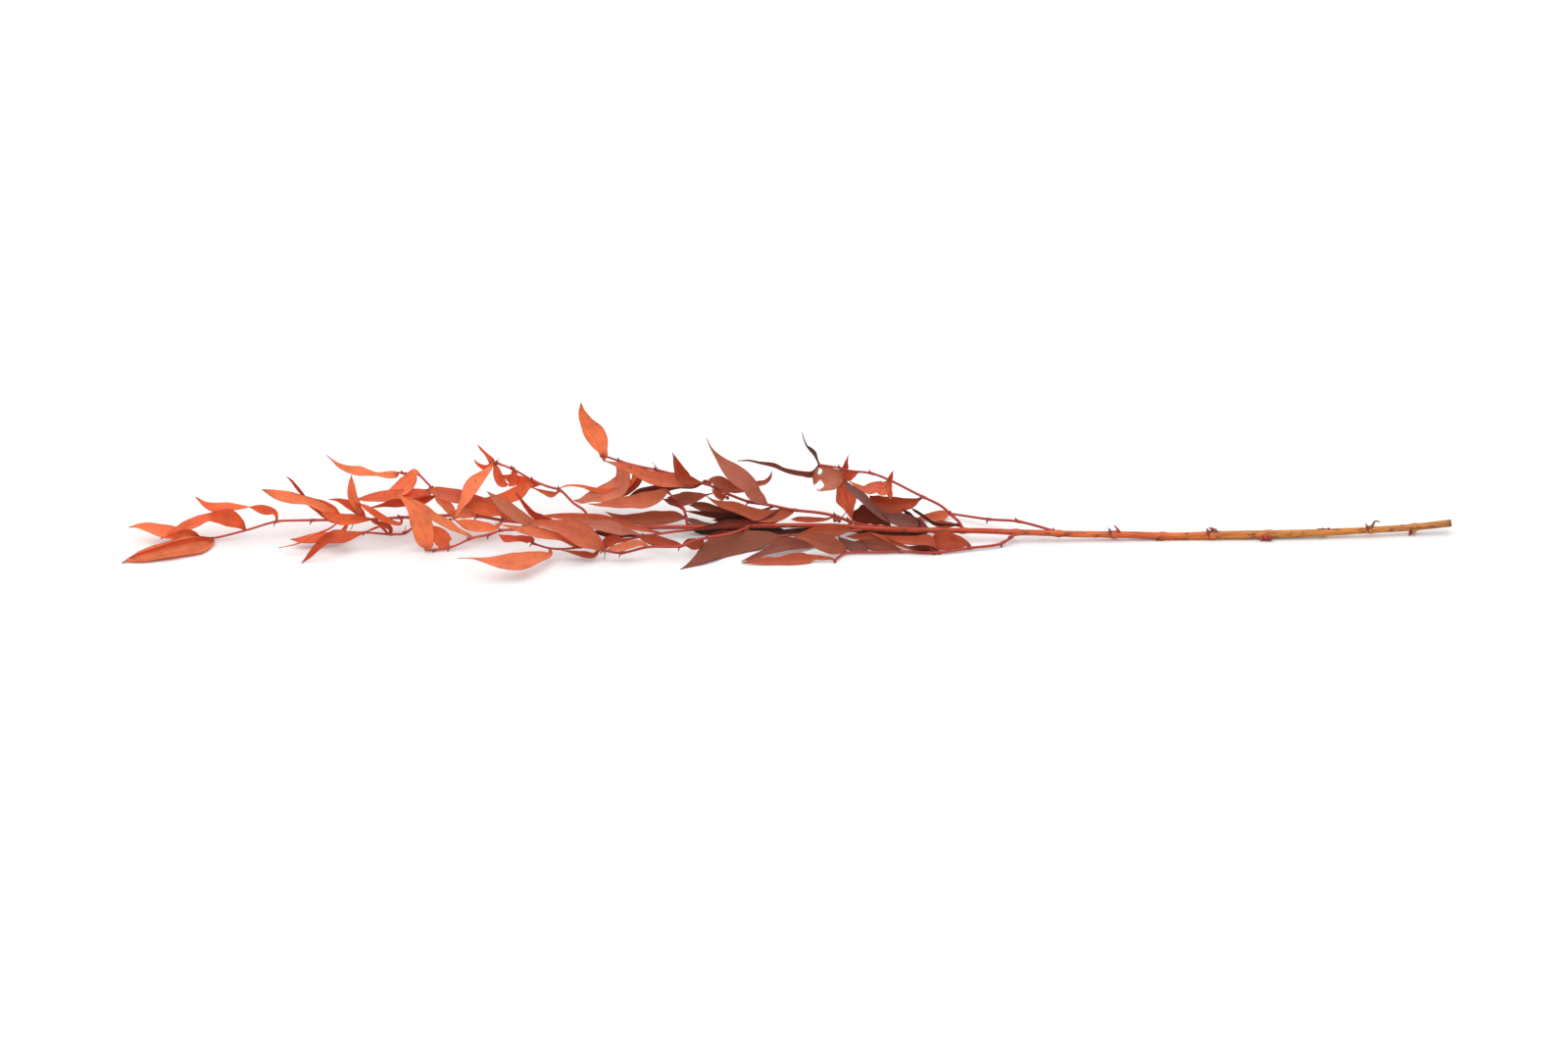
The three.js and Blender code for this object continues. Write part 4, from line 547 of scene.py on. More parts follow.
# the long shoot in front
SHOOTS["side_shoot_06"] = shoot("rust", [1, 0.6], course=[
    [-26, 7.6, 2.5], [-29, 6.8, -6], [-38, 3.6, -19], [-52, 1.3, -27], [-62, -0.7, -30], [-72, -4.7, -32],
    [-94, -5.3, -31], [-112, -9.3, -33], [-122, -8, -33], [-133, -5, -30], [-152, -6.7, -31],
    [-162, -6, -31], [-173, -2.7, -28],
], bracts=[[-53, 1], [-72, -1], [-112, -1], [-124, -1], [-140, 1], [-172, -1]], blades=[
    blade("dull_red", -28, [3.4, 4.4, 3.4], 20, [
        [-35.3, 4.3, -3.1], [-42, 3.8, -3.2], [-48, 3.3, -3.6], [-53.7, 1.7, -4],
    ]),
    blade("rust", -57, [5.1, 7.9, 5.7], 15, [
        [-58.5, -2.8, -26], [-62.7, -3.3, -22.9], [-67.2, -2.8, -22.4], [-71.7, -4.3, -23],
    ]),
    blade("rust", -71, [3.7, 6, 7.5, 5.5], 15, [
        [-75.3, -3.2, -29.5], [-82, -2.3, -26.1], [-89.3, -0.9, -23.2], [-95.7, 0.4, -21.6],
        [-101.7, 2.3, -20],
    ]),
    blade("coral", -94, [2.2, 3.9, 4.8, 5.4, 3.3], -25, [
        [-96, -3.9, -32.1], [-100.2, -2.6, -34.1], [-105.8, -3.6, -36.3], [-112, -5.3, -37.7],
        [-117.7, -6.3, -38], [-121.7, -7.3, -38],
    ]),
    blade("coral", -124, [6, 11.6, 15.9, 14.1, 9.7, 6.1, 3.8], -15, [
        [-126.3, -5.3, -34.8], [-131.5, -1.2, -36], [-138, 1.9, -36], [-145, 5.7, -34.4],
        [-153.7, 8.7, -32.4], [-162.7, 10.3, -30], [-170.3, 11, -27.8], [-176.7, 9.7, -26],
    ], fold=0.5),
    blade("rust", -127, [3.3, 4.4, 3.1, 1.3], -30, [
        [-130.7, -10.6, -34], [-136.7, -10.5, -36.7], [-142.7, -9.4, -36.7], [-148.3, -8.3, -36.3],
        [-153, -7.7, -36],
    ]),
    blade("coral", -142, [2.6, 4, 6, 7, 5.8, 3.2, 1.2], -30, [
        [-146.3, -3.1, -32.1], [-153, 0.9, -33.8], [-160.7, 3, -32.8], [-168.7, 4.5, -31.8],
        [-176.7, 5.8, -30.7], [-184.7, 7.6, -29.3], [-191.2, 9.3, -27.7], [-198.3, 11, -26],
    ]),
    blade("light_orange", -161, [3.6, 7.1, 10.7, 12.2, 9.7, 5.7, 2.5, 0.9], -25, [
        [-161, -9.7, -37.1], [-167.7, -11.5, -48.7], [-175.3, -13.4, -56.5], [-184, -15.3, -63.1],
        [-193, -15.4, -64.6], [-201, -14.8, -66], [-208.2, -13.8, -64.6], [-214.3, -12.9, -63.1],
        [-224, -12.9, -60],
    ], fold=0.2, wave=0.03),
    blade("deep_orange", -173, [4.9, 4.4, 4.1, 4.9], 30, [
        [-173.9, -1, -28.4], [-179, 0.4, -29.5], [-185, 0.4, -30.4], [-191, 0.5, -31.2], [-196, 3.3, -32],
    ], twist=-50, flip=0.35, wave=0.1),
])
# a short twig in front, hidden by its own blades
SHOOTS["side_shoot_07"] = shoot("rust", [0.8, 0.7], course=[
    [-58, 7.5, 2.5], [-64, 6.5, -1], [-75, 5.3, -6], [-98, 2, -12],
], bracts=[[-96, 1], [-97, -1]], blades=[
    blade("coral", -85, [5.5, 6.1, 6.7, 5.5, 3.9, 2.2], 15, [
        [-114.3, 10.7, -8.2], [-125, 13.7, -8.6], [-135, 14, -9], [-145, 15.1, -8.7], [-155, 15.6, -8.4],
        [-161.7, 15.8, -8.2], [-169, 15.7, -8],
    ]),
    blade("dusky_coral", -98, [3.1, 7.9, 8.9, 6.8, 5.2, 2.6], -25, [
        [-106, 4.8, -13.8], [-112.3, 6.4, -15.2], [-120.3, 8.6, -16.4], [-129.7, 9.7, -17.3],
        [-139.7, 10.8, -17.9], [-150, 11.9, -17.5], [-161.7, 13, -17],
    ]),
    blade("dark_red", -97, [2, 4, 3.3], 30, [
        [-108.3, 2.3, -11.9], [-118.3, 2.7, -11.8], [-126.3, 4.2, -11.4], [-133.7, 6, -11],
    ]),
    blade("red_orange", -97, [2.7, 6.4, 7.4], 10, [
        [-111, -0.7, -17.3], [-116.7, -0.2, -19], [-122, -2.7, -20.5], [-124.3, -8, -22],
    ]),
])
# the steep twig behind the stem
SHOOTS["side_shoot_08"] = shoot("terracotta", [0.8, 0.6], course=[
    [-67.5, 9.3, 6.5], [-68.5, 15.3, 10], [-70, 20.7, 14], [-75, 26.7, 18], [-80, 31.3, 21],
], bracts=[[-68.3, 1], [-69.5, -1]], blades=[
    blade("terracotta", -68.3, [7, 9.2, 9.7, 7.8, 6, 3.1], 15, [
        [-75, 15.2, 9.8], [-83, 14.7, 10.4], [-92.3, 14.2, 11], [-102.3, 13.7, 11], [-110, 13.7, 11.1],
        [-116.7, 15.7, 11.6], [-123.3, 18.7, 12],
    ], wave=0.05),
    blade("grey_brown", -68.2, [3.6, 5.2, 3.8, 2.2], 15, [
        [-65.3, 12.8, 9.2], [-60, 10.4, 9.8], [-54, 9.3, 9.7], [-49, 9.4, 9.4], [-44.3, 10, 9],
    ]),
    blade("dull_red", -69.8, [4.2, 4.4], 30, [
        [-74.3, 24, 16.5], [-78.7, 25.5, 18.3], [-84.3, 27.3, 20],
    ]),
    blade("coral", -79.5, [3.7, 9.1, 10.8, 8.6, 6.8, 4, 1.9], -28, [
        [-81.3, 32.5, 20.8], [-89, 28.8, 21], [-98, 26.3, 21], [-106.3, 25.5, 21], [-114.3, 24.7, 21.2],
        [-121.7, 23.8, 21.5], [-128.3, 23.4, 21.8], [-135, 24.1, 22],
    ]),
    # painted shade: a near-black blade that stands for the deep shadow between the blades above and below
    # the stem
    blade("painted_shade", -67.8, [4, 6.7, 9, 8.7, 6], 0, [
        [-60.3, 6, 6.8], [-48.3, 6, 7], [-35, 5.8, 7], [-21.7, 6, 7], [-8.7, 6.3, 7], [0.3, 6, 7],
    ], wave=0.03),
])
# the upper shoot of the middle
SHOOTS["side_shoot_09"] = shoot("orange", [0.9, 0.6], course=[
    [-134, 10.2, 3.5], [-137, 18.7, 8], [-145, 24.7, 12], [-154, 33.3, 17], [-162, 35.7, 20],
    [-172, 39.7, 23], [-186, 47.5, 28], [-195, 51, 30], [-200, 53, 31],
], bracts=[[-154, 1], [-172, 1], [-186, 1], [-196, 1]], blades=[
    blade("coral", -154, [2.3, 4.3, 2.9, 1.1], 20, [
        [-157, 31.2, 16.6], [-159.8, 30.4, 16.2], [-165.3, 32.1, 16.3], [-170.3, 34, 16.7],
        [-175, 35.7, 17],
    ]),
    blade("orange", -167, [4.7, 6.6, 6.3], 20, [
        [-173.3, 37.3, 24.5], [-181, 39.7, 27.5], [-187.3, 41.1, 28.7], [-193.7, 43.7, 30],
    ], wave=0.05),
    blade("orange", -171, [2.7, 6.4, 9.6, 7.8, 6, 4.7], -25, [
        [-172.5, 37.7, 22.4], [-177.2, 35.9, 21.8], [-183, 31.3, 20.9], [-191.7, 28, 20.2],
        [-200.7, 26.2, 19.7], [-209.3, 24.3, 19.4], [-217.7, 22, 19],
    ], wave=0.05),
    blade("orange", -186, [3.9, 5.1, 6], -10, [
        [-185.4, 45.6, 28], [-185.6, 41.8, 28], [-187, 38.1, 27.4], [-189, 35.7, 27],
    ], wave=0.05),
    blade("orange", -197, [4.8, 3.4, 1.9, 1.7], -20, [
        [-199.3, 51.7, 30.3], [-202.2, 55.2, 30.1], [-205.2, 58.6, 29.8], [-208, 61.5, 29.4],
        [-210.1, 64.3, 29],
    ], wave=0.05),
    blade("orange", -199, [3.5, 2.4, 1.4], 20, [
        [-204.5, 48.7, 26.9], [-208.7, 50.2, 25], [-211.1, 52.2, 23.9], [-212.7, 54.3, 23],
    ], wave=0.05),
    blade("orange", -199, [5, 6.5, 6.6, 4.3], 10, [
        [-197.2, 46.7, 28.8], [-195.9, 42.2, 27.7], [-194, 39, 27.2], [-191.3, 37.3, 26.6],
        [-189, 37.3, 26],
    ], wave=0.05),
    blade("light_orange", -199.5, [3.3, 6.1, 9.5, 9.5, 7.3, 4, 2.2], -20, [
        [-201.8, 48.4, 26.2], [-206.8, 43.7, 19.7], [-211.5, 39.5, 13.6], [-215.3, 33.7, 6.4],
        [-218.6, 27.3, -0.3], [-221.7, 22.2, -2.4], [-224.3, 16.5, -4.5], [-226.7, 13, -6],
    ], wave=0.05),
])
# the low shoot in front of the leading shoot, whose last blade stands up
SHOOTS["side_shoot_10"] = shoot("orange", [0.8, 0.6], course=[
    [-178, 9.4, 0.4], [-183, 6.7, -4], [-194, 6, -8], [-202, 3.3, -11], [-214, 0.7, -14], [-227, -5, -18],
    [-240, -7.3, -20.5], [-246, -7.6, -21.5],
], bracts=[[-194, 1], [-202, -1], [-215, 1], [-229, -1], [-239, -1]], blades=[
    blade("light_orange", -214, [2.1, 3.3, 6, 5.5, 6.1, 5, 2.1], -35, [
        [-216.2, 2.7, -13.5], [-222.7, 5.7, -12.4], [-230, 10.3, -11.5], [-239.2, 15, -10.7],
        [-246.3, 20.3, -10.1], [-253, 24.5, -9.4], [-259.2, 27.1, -8.8], [-265.7, 30.7, -8],
    ], wave=0.05),
    blade("orange", -229, [9.2, 11.6, 9.5, 5.3], 0, [
        [-231.9, -3.8, -18.6], [-234, 0, -19], [-238.3, 4.3, -17.7], [-241.8, 7.5, -16.5],
        [-244.3, 13.3, -15],
    ], wave=0.05),
    blade("light_orange", -245.5, [7.3, 13, 14.7, 13, 6.8, 2.7], -10, [
        [-244.7, -5.5, -21.5], [-245.5, 0, -22.6], [-247.7, 7.8, -22.2], [-250.5, 14.7, -21.2],
        [-255.4, 21.4, -19.5], [-260.7, 27.3, -17.7], [-266.7, 32, -16],
    ], fold=0.2),
])
# the upper shoot near the tip
SHOOTS["side_shoot_11"] = shoot("orange", [0.8, 0.6], course=[
    [-226, 17.2, 7.5], [-231, 21.3, 10], [-238, 31.3, 15], [-245.5, 39.3, 19], [-250.5, 44, 21],
    [-260, 44.7, 23], [-265, 45.3, 25],
], bracts=[[-240, 1], [-260, 1]], blades=[
    blade("light_orange", -239, [5, 6.5, 5.9], 15, [
        [-236.5, 27.7, 12], [-231.7, 23.5, 8], [-228, 18.8, 5], [-226.3, 12.7, 3],
    ], wave=0.05),
    blade("deep_orange", -237, 10, 55, [
        [-252, 25.3, 10], [-265, 24.7, 8], [-284, 21.3, 6],
    ], wave=0.12),
    blade("orange", -240, [8.3, 8.3, 7.8, 7.5, 5.7, 3.5], -35, [
        [-247, 30.2, 15.4], [-255, 30.2, 14.6], [-265, 29.9, 13.4], [-273.7, 29.1, 12.5],
        [-281.7, 28.5, 11.9], [-287.7, 27.6, 11.4], [-292.3, 27.3, 11],
    ]),
    blade("light_orange", -249, [5.5, 9.5, 11.1, 8.5], -25, [
        [-252.8, 45.2, 19.7], [-256.3, 40.3, 18.9], [-260.3, 35.9, 18.4], [-266.3, 32.5, 17.9],
        [-276.3, 27.7, 17],
    ]),
    blade("light_orange", -264.5, [4.1, 4.9, 2.5, 4.3, 6.7, 4.7, 3, 1.2], -35, [
        [-265.2, 44.4, 24.8], [-270.3, 43.8, 25], [-278.4, 44.2, 25], [-284.3, 45.2, 24.6],
        [-290.7, 46.5, 24.1], [-298.3, 47.6, 23.5], [-304.3, 50.1, 23.1], [-308.7, 53.5, 22.5],
        [-313, 57.3, 22],
    ]),
])
# the short shoot in front near the tip
SHOOTS["side_shoot_12"] = shoot("orange", [0.8, 0.6], course=[
    [-247, 13.8, 4], [-254, 8, -1], [-260, 4, -5], [-268, 3.3, -8], [-287, 4.7, -14],
], bracts=[[-259, 1], [-269, 1], [-286, -1]], blades=[
    blade("red_orange", -269, [2.9, 3.7, 3.4, 2.7], 5, [
        [-269.2, 6.7, -8.6], [-270.7, 8.5, -8.8], [-275.7, 10.2, -9], [-280.7, 12.3, -9],
        [-284.3, 14.7, -9],
    ], wave=0.05),
    blade("deep_orange", -271, 6, 75, [
        [-276, 8, -12], [-286, 5.3, -15],
    ], wave=0.12),
    blade("deep_orange", -286.5, [3.3, 7.5, 9.3, 7, 5.4, 4.6, 3.1], -40, [
        [-292, 3.6, -15.3], [-299, 2.3, -17.3], [-306, 1.9, -20.3], [-312, 0.8, -24.1],
        [-316.3, -2.2, -27.6], [-320.3, -6.5, -31.3], [-324.8, -11.3, -35], [-329.9, -16.3, -39],
    ], twist=85, flip=0.45, sweep=0.15, wave=0.05),
])


# Places, colours and curves

def place(row):
    along, up, back = row
    return Vector((along, back + STEM_BACK, (up - back * SIGHT_SLOPE) / SIGHT_RISE))


def mix(first, second, share):
    return first + (second - first) * share


def eased(share):
    share = min(max(share, 0), 1)
    return share * share * (3 - 2 * share)


def linear(hex_colour):
    """The linear colour of an sRGB hex code."""
    values = [int(hex_colour[i : i + 2], 16) / 255 for i in (1, 3, 5)]
    return [v / 12.92 if v <= 0.04045 else ((v + 0.055) / 1.055) ** 2.4 for v in values]


def through(values, knot):
    """A smooth run through values that stand at even knots."""
    spans = len(values) - 1
    span = min(int(knot * spans), spans - 1)
    w = knot * spans - span
    first, last = values[span], values[span + 1]
    before = values[max(span - 1, 0)]
    after = values[min(span + 2, spans)]
    rise = (last - before) / 2
    fall = (after - first) / 2
    cube = 2 * first - 2 * last + rise + fall
    square = 3 * last - 3 * first - 2 * rise - fall
    return first + rise * w + square * w**2 + cube * w**3


class Course:
    """A smooth curve through points, with knots spaced by the root of their distance, read by
    the share of its length."""

    DIVISIONS = 200
    NEAR = 1e-4
    HALVINGS = 24

    def __init__(self, points):
        before = points[0] * 2 - points[1]
        after = points[-1] * 2 - points[-2]
        self.points = [before, *points, after]
        self.spans = len(points) - 1
        self.reach = [0.0]
        last = self.at(0)
        for i in range(1, self.DIVISIONS + 1):
            here = self.at(i / self.DIVISIONS)
            self.reach.append(self.reach[-1] + (here - last).length)
            last = here
        self.length = self.reach[-1]

    def at(self, knot):
        span = min(int(knot * self.spans), self.spans - 1)
        w = knot * self.spans - span
        p0, p1, p2, p3 = self.points[span : span + 4]
        d0 = (p1 - p0).length ** 0.5
        d1 = (p2 - p1).length ** 0.5
        d2 = (p3 - p2).length ** 0.5
        t1 = ((p1 - p0) / d0 - (p2 - p0) / (d0 + d1) + (p2 - p1) / d1) * d1
        t2 = ((p2 - p1) / d1 - (p3 - p1) / (d1 + d2) + (p3 - p2) / d2) * d1
        square = (p2 - p1) * 3 - t1 * 2 - t2
        cube = (p1 - p2) * 2 + t1 + t2
        return p1 + t1 * w + square * w**2 + cube * w**3

    def knot(self, share):
        want = share * self.length
        i = min(bisect_right(self.reach, want), self.DIVISIONS) - 1
        part = (want - self.reach[i]) / (self.reach[i + 1] - self.reach[i])
        return (i + part) / self.DIVISIONS

    def point(self, share):
        return self.at(self.knot(share))

    def forward(self, share):
        knot = self.knot(share)
        return (self.at(min(knot + self.NEAR, 1)) - self.at(max(knot - self.NEAR, 0))).normalized()

    def share_at(self, along):
        """How far along the curve it passes "along"."""
        low, high = 0.0, 1.0
        for _ in range(self.HALVINGS):
            middle = (low + high) / 2
            if self.point(middle).x > along:
                low = middle
            else:
                high = middle
        return low


# Meshes

def above_floor(point):
    """Presses what would reach under the floor almost flat onto it."""
    pressed = FLOOR_GAP + FLOOR_PRESS * (point.z - FLOOR_GAP)
    return Vector((point.x, point.y, max(point.z, pressed)))


class Sheaf:
    """Closed lofts gathered into one mesh, each corner with its place on the blade and its dye."""

    def __init__(self, name):
        self.name = name
        self.points = []
        self.faces = []
        self.slots = []
        self.maps = []
        self.dyes = []

    def loft(self, rings, maps, dye, end_slot=0):
        """Adds a closed solid through rings of points. "maps" gives each point's place."""
        sides = len(rings[0])
        start = len(self.points)
        for ring, row in zip(rings, maps):
            self.points += [above_floor(point) * MM for point in ring]
            self.maps += row
        self.dyes += [dye] * (len(rings) * sides)
        for i in range(len(rings) - 1):
            for k in range(sides):
                a = start + i * sides + k
                b = start + i * sides + (k + 1) % sides
                self.faces.append((a, b, b + sides, a + sides))
                self.slots.append(0)
        last = start + (len(rings) - 1) * sides
        self.faces.append(tuple(start + k for k in reversed(range(sides))))
        self.slots.append(end_slot)
        self.faces.append(tuple(last + k for k in range(sides)))
        self.slots.append(0)

    def build(self, materials, crease):
        mesh = bpy.data.meshes.new(self.name)
        mesh.from_pydata(self.points, [], self.faces)
        for material in materials:
            mesh.materials.append(material)
        mesh.polygons.foreach_set("material_index", self.slots)
        mesh.polygons.foreach_set("use_smooth", [True] * len(self.faces))
        places = mesh.uv_layers.new(name="Blade")
        for loop in mesh.loops:
            places.data[loop.index].uv = self.maps[loop.vertex_index]
        dyes = mesh.color_attributes.new("Dye", "FLOAT_COLOR", "POINT")
        for i, dye in enumerate(self.dyes):
            dyes.data[i].color = (*dye, 1)
        mesh.set_sharp_from_angle(angle=math.radians(crease))
        mesh.validate()
        return linked(self.name, mesh)


def linked(name, made):
    """An object in the scene for a mesh, a light or a camera."""
    thing = bpy.data.objects.new(name, made)
    bpy.context.scene.collection.objects.link(thing)
    return thing


def add_tube(sheaf, course, shares, radius_at, sides, dye, end_slot=0):
    rings = []
    maps = []
    for share in shares:
        centre = course.point(share)
        forward = course.forward(share)
        right = Vector((0, 0, 1)).cross(forward).normalized()
        up = forward.cross(right)
        radius = radius_at(share)
        ring = []
        for k in range(sides):
            angle = FULL_TURN * k / sides
            ring.append(centre + right * (math.cos(angle) * radius) + up * (math.sin(angle) * radius))
        rings.append(ring)
        maps.append([(k / sides, share) for k in range(sides)])
    sheaf.loft(rings, maps, dye, end_slot)


def even_shares(length, step):
    count = max(2, round(length / step))
    return [i / count for i in range(count + 1)]


# Blades

def shaded(dye):
    """A dye a little lighter or darker than its own colour."""
    lightness = 1 + chance.uniform(-DYE_SPREAD, DYE_SPREAD)
    warmth = 1 + chance.uniform(-DYE_SPREAD, DYE_SPREAD) / 2
    red, green, blue = linear(DYES[dye])
    return (min(red * lightness, 1), green * lightness * warmth, blue * lightness / warmth)


def blade_outline(share, base_power, point_power):
    widest = base_power / (base_power + point_power)
    return (share / widest) ** base_power * ((1 - share) / (1 - widest)) ** point_power


def rest_on_floor(rings):
    """Lifts what would reach under the floor, each ring by its own depth."""
    lifts = [max(0, FLOOR_GAP - min(point.z for point in ring)) for ring in rings]
    for ring, lift in zip(rings, lifts):
        for point in ring:
            point.z += lift


def add_blade(sheaf, root, row):
    midrib = Course([root, *(place(point) for point in row["points"])])
    powers = [p + chance.uniform(-spread, spread) for p, spread in zip(OUTLINE_POWERS, POWER_SPREADS)]
    ripples = FULL_TURN * chance.uniform(LEAST_RIPPLES, MOST_RIPPLES)
    phases = [chance.uniform(0, FULL_TURN) for _ in range(2)]
    jags = [chance.uniform(0, FULL_TURN) for _ in range(2)]
    columns = [2 * k / BLADE_COLUMNS - 1 for k in range(BLADE_COLUMNS + 1)]
    pattern = 2 * int(chance.random() * PATTERNS)
    rings = []
    maps = []
    for i in range(BLADE_STATIONS + 1):
        even = i / BLADE_STATIONS
        share = mix(even, (1 - math.cos(math.pi * even)) / 2, END_CROWDING)
        centre = midrib.point(share)
        forward = midrib.forward(share)
        turned = eased((share - row["flip"]) / row["sweep"] + 0.5)
        turn = math.radians(row["turn"] + row["twist"] * turned)
        flat = forward.cross(TO_EYE).normalized()
        across = Matrix.Rotation(-turn, 3, forward) @ flat
        face = across.cross(forward)
        petiole = max(0, 1 - share * midrib.length / PETIOLE_LENGTH)
        if isinstance(row["width"], list):
            width = through([PETIOLE_WIDTH, *row["width"], TIP_WIDTH], midrib.knot(share))
            width /= max(abs(math.cos(turn)), LEAST_FACING)
        else:
            width = row["width"] * blade_outline(share, *powers)
        half = max(width, mix(TIP_WIDTH, PETIOLE_WIDTH, petiole)) / 2
        top = []
        bottom = []
        for side in columns:
            which = 0 if side < 0 else 1
            jag = 1 + JAG_DEPTH * math.sin(ripples * share * JAG_RATE + jags[which])
            ripple = math.sin(ripples * share + phases[which])
            rise = row["fold"] * (abs(side) ** FOLD_POWER - 1) + row["wave"] * side * side * ripple
            thick = mix(MIDRIB_THICKNESS, MARGIN_THICKNESS, abs(side)) + PETIOLE_THICKENING * petiole
            middle = centre + across * (side * half * jag) + face * (half * rise)
            top.append(middle + face * (thick / 2))
            bottom.append(middle - face * (thick / 2))
        rings.append(top + bottom[::-1])
        places = [((side + 1) / 2 + pattern, share) for side in columns]
        maps.append(places + places[::-1])
    rest_on_floor(rings)
    sheaf.loft(rings, maps, shaded(row["dye"]))


def take_bites(piece):
    """Cuts the round bites, as the eye sees them, out of a piece."""
    cutter = bpy.data.meshes.new("bites")
    shape = bmesh.new()
    for spot, radius in BITES:
        sight = TO_EYE.to_track_quat("Z", "Y").to_matrix().to_4x4()
        bmesh.ops.create_cone(
            shape, cap_ends=True, segments=BITE_SIDES, radius1=radius * MM, radius2=radius * MM,
            depth=BITE_DEPTH * MM, matrix=Matrix.Translation(place(spot) * MM) @ sight,
        )
    shape.to_mesh(cutter)
    shape.free()
    tool = linked("bites", cutter)
    cut = piece.modifiers.new("bites", "BOOLEAN")
    cut.operation = "DIFFERENCE"
    cut.use_self = True
    cut.object = tool
    view = bpy.context.evaluated_depsgraph_get()
    mesh = bpy.data.meshes.new_from_object(piece.evaluated_get(view))
    piece.modifiers.clear()
    piece.data = mesh
    bpy.data.objects.remove(tool)


# Bracts, knots and spurs

def add_bract(sheaf, root, forward, lean, radius, length):
    """A small pointed scale that clasps the twig at a node."""
    outward = Vector((0, -BRACT_FRONT, lean))
    outward = (outward - forward * outward.dot(forward)).normalized()
    aim = (forward * BRACT_AIM[0] + outward * BRACT_AIM[1]).normalized()
    course = Course([
        root + outward * (radius * BRACT_ROOT),
        root + outward * (radius * BRACT_CLEAR) + forward * (length * BRACT_BEND),
        root + outward * (radius * BRACT_CLEAR) + aim * length,
    ])
    rings = []
    maps = []
    for i in range(BRACT_STATIONS + 1):
        share = i / BRACT_STATIONS
        centre = course.point(share)
        ahead = course.forward(share)
        across = ahead.cross(outward).normalized()
        face = across.cross(ahead)
        half = radius * mix(1, BRACT_TIP, share**BRACT_TAPER)
        top = []
        bottom = []
        for side in BRACT_COLUMNS:
            middle = centre + across * (side * half) - face * (BRACT_HUG * half * side * side)
            top.append(middle + face * (BRACT_THICKNESS / 2))
            bottom.append(middle - face * (BRACT_THICKNESS / 2))
        ring = top + bottom[::-1]
        rings.append(ring)
        maps.append([(0.5, share)] * len(ring))
    sheaf.loft(rings, maps, linear(DYES["scale"]))


def add_knot(sheaf, centre, radius, dye):
    """A lump of a few short spindles that lean every way."""
    for _ in range(KNOT_SPINDLES):
        lean = Vector([chance.uniform(-1, 1) for _ in range(3)]).normalized()
        course = Course([centre - lean * radius, centre, centre + lean * (KNOT_REACH * radius)])
        girth = radius * chance.uniform(*KNOT_GIRTHS)

        def radius_at(share):
            return KNOT_END + girth * math.sin(math.pi * share) ** KNOT_POWER

        add_tube(sheaf, course, even_shares(1, KNOT_STEP), radius_at, KNOT_SIDES, dye)


def add_knots_and_spurs(sheaf, name):
    for spot, size, dye in KNOTS.get(name, []):
        add_knot(sheaf, place(spot), size, linear(DYES[dye]))
    for spur, size, dye in SPURS.get(name, []):
        line = Course([place(spot) for spot in spur])
        shares = even_shares(line.length, SPUR_STEP)
        colour = linear(DYES[dye])
        add_tube(sheaf, line, shares, lambda s: size * (1 - SPUR_TAPER * s), SPUR_SIDES, colour)


# Materials. A tint multiplies the colour that it falls on, and other colours are mixed into it.

DYE_TINT = (1.0, 1.12, 1.05, 1)
DULL_TINT = (0.75, 0.6, 0.55, 1)
VEIN_TINT = (0.5, 0.35, 0.3, 1)
MIDRIB_TINT = (0.6, 0.4, 0.35, 1)
MARGIN_TINT = (0.55, 0.3, 0.25, 1)
FIBRE_TINT = (0.45, 0.3, 0.22, 1)
RED_STAIN = "#b5432a"
DRY_TIP = "#7c3428"
RED_FOOT = "#b23c2b"
SPOT = "#5a1f16"
TWIG_FIBRE = "#7a2a1e"
WORN_BARK = "#8a5a34"
BARK_FLECK = "#5a2c1c"
PITH = "#a8845f"
PORE = "#7a5238"
FLOOR_COLOUR = (0.68, 0.66, 0.655, 1)
VEINS = 11
VEIN_WANDER = 0.04
VEIN_SHARE = 0.2
VEIN_HEIGHT = 0.5
MIDRIB_SHARE = 0.3
SPOT_SHARE = 0.45
PASSED_SHARE = 0.5  # of the light that goes through a blade
PASSED_GAMMA = 1.2  # more makes that light redder

# How the bark's colour changes along the stem, as (along, colour)
BARK_COLOURS = [
    (-135, "#a63320"), (60, "#ae3820"), (140, "#b84022"), (200, "#c8622c"), (232, "#c05426"),
    (256, "#bf5424"), (270, "#cc6a2c"), (290, "#c4682c"), (300, "#bf7430"), (345, "#b8742c"),
    (400, "#c67e34"), (448, "#a86c34"), (452, "#74462a"),
]


def painted(hex_colour):
    return (*linear(hex_colour), 1)


def node(tree, kind, inputs=None, **settings):
    """A new node, whose inputs are values or outputs of other nodes."""
    made = tree.nodes.new(kind)
    for name, value in settings.items():
        setattr(made, name, value)
    for name, value in (inputs or {}).items():
        set_socket(tree, made.inputs[name], value)
    return made


def set_socket(tree, socket, value):
    if isinstance(value, bpy.types.NodeSocket):
        tree.links.new(value, socket)
    else:
        socket.default_value = value


def arithmetic(tree, operation, first, second=0.0):
    return node(tree, "ShaderNodeMath", {0: first, 1: second}, operation=operation).outputs[0]


def ramped(tree, value, low, high, to_low=0.0, to_high=1.0):
    inputs = {"Value": value, "From Min": low, "From Max": high, "To Min": to_low, "To Max": to_high}
    return node(tree, "ShaderNodeMapRange", inputs).outputs["Result"]


def blended(tree, share, first, second, how="MIX"):
    made = node(tree, "ShaderNodeMix", data_type="RGBA", blend_type=how)
    for socket, value in ((made.inputs[0], share), (made.inputs[6], first), (made.inputs[7], second)):
        set_socket(tree, socket, value)
    return made.outputs[2]


def noised(tree, vector, scale, detail=2.0, roughness=0.5):
    inputs = {"Vector": vector, "Scale": scale, "Detail": detail, "Roughness": roughness}
    return node(tree, "ShaderNodeTexNoise", inputs).outputs["Fac"]


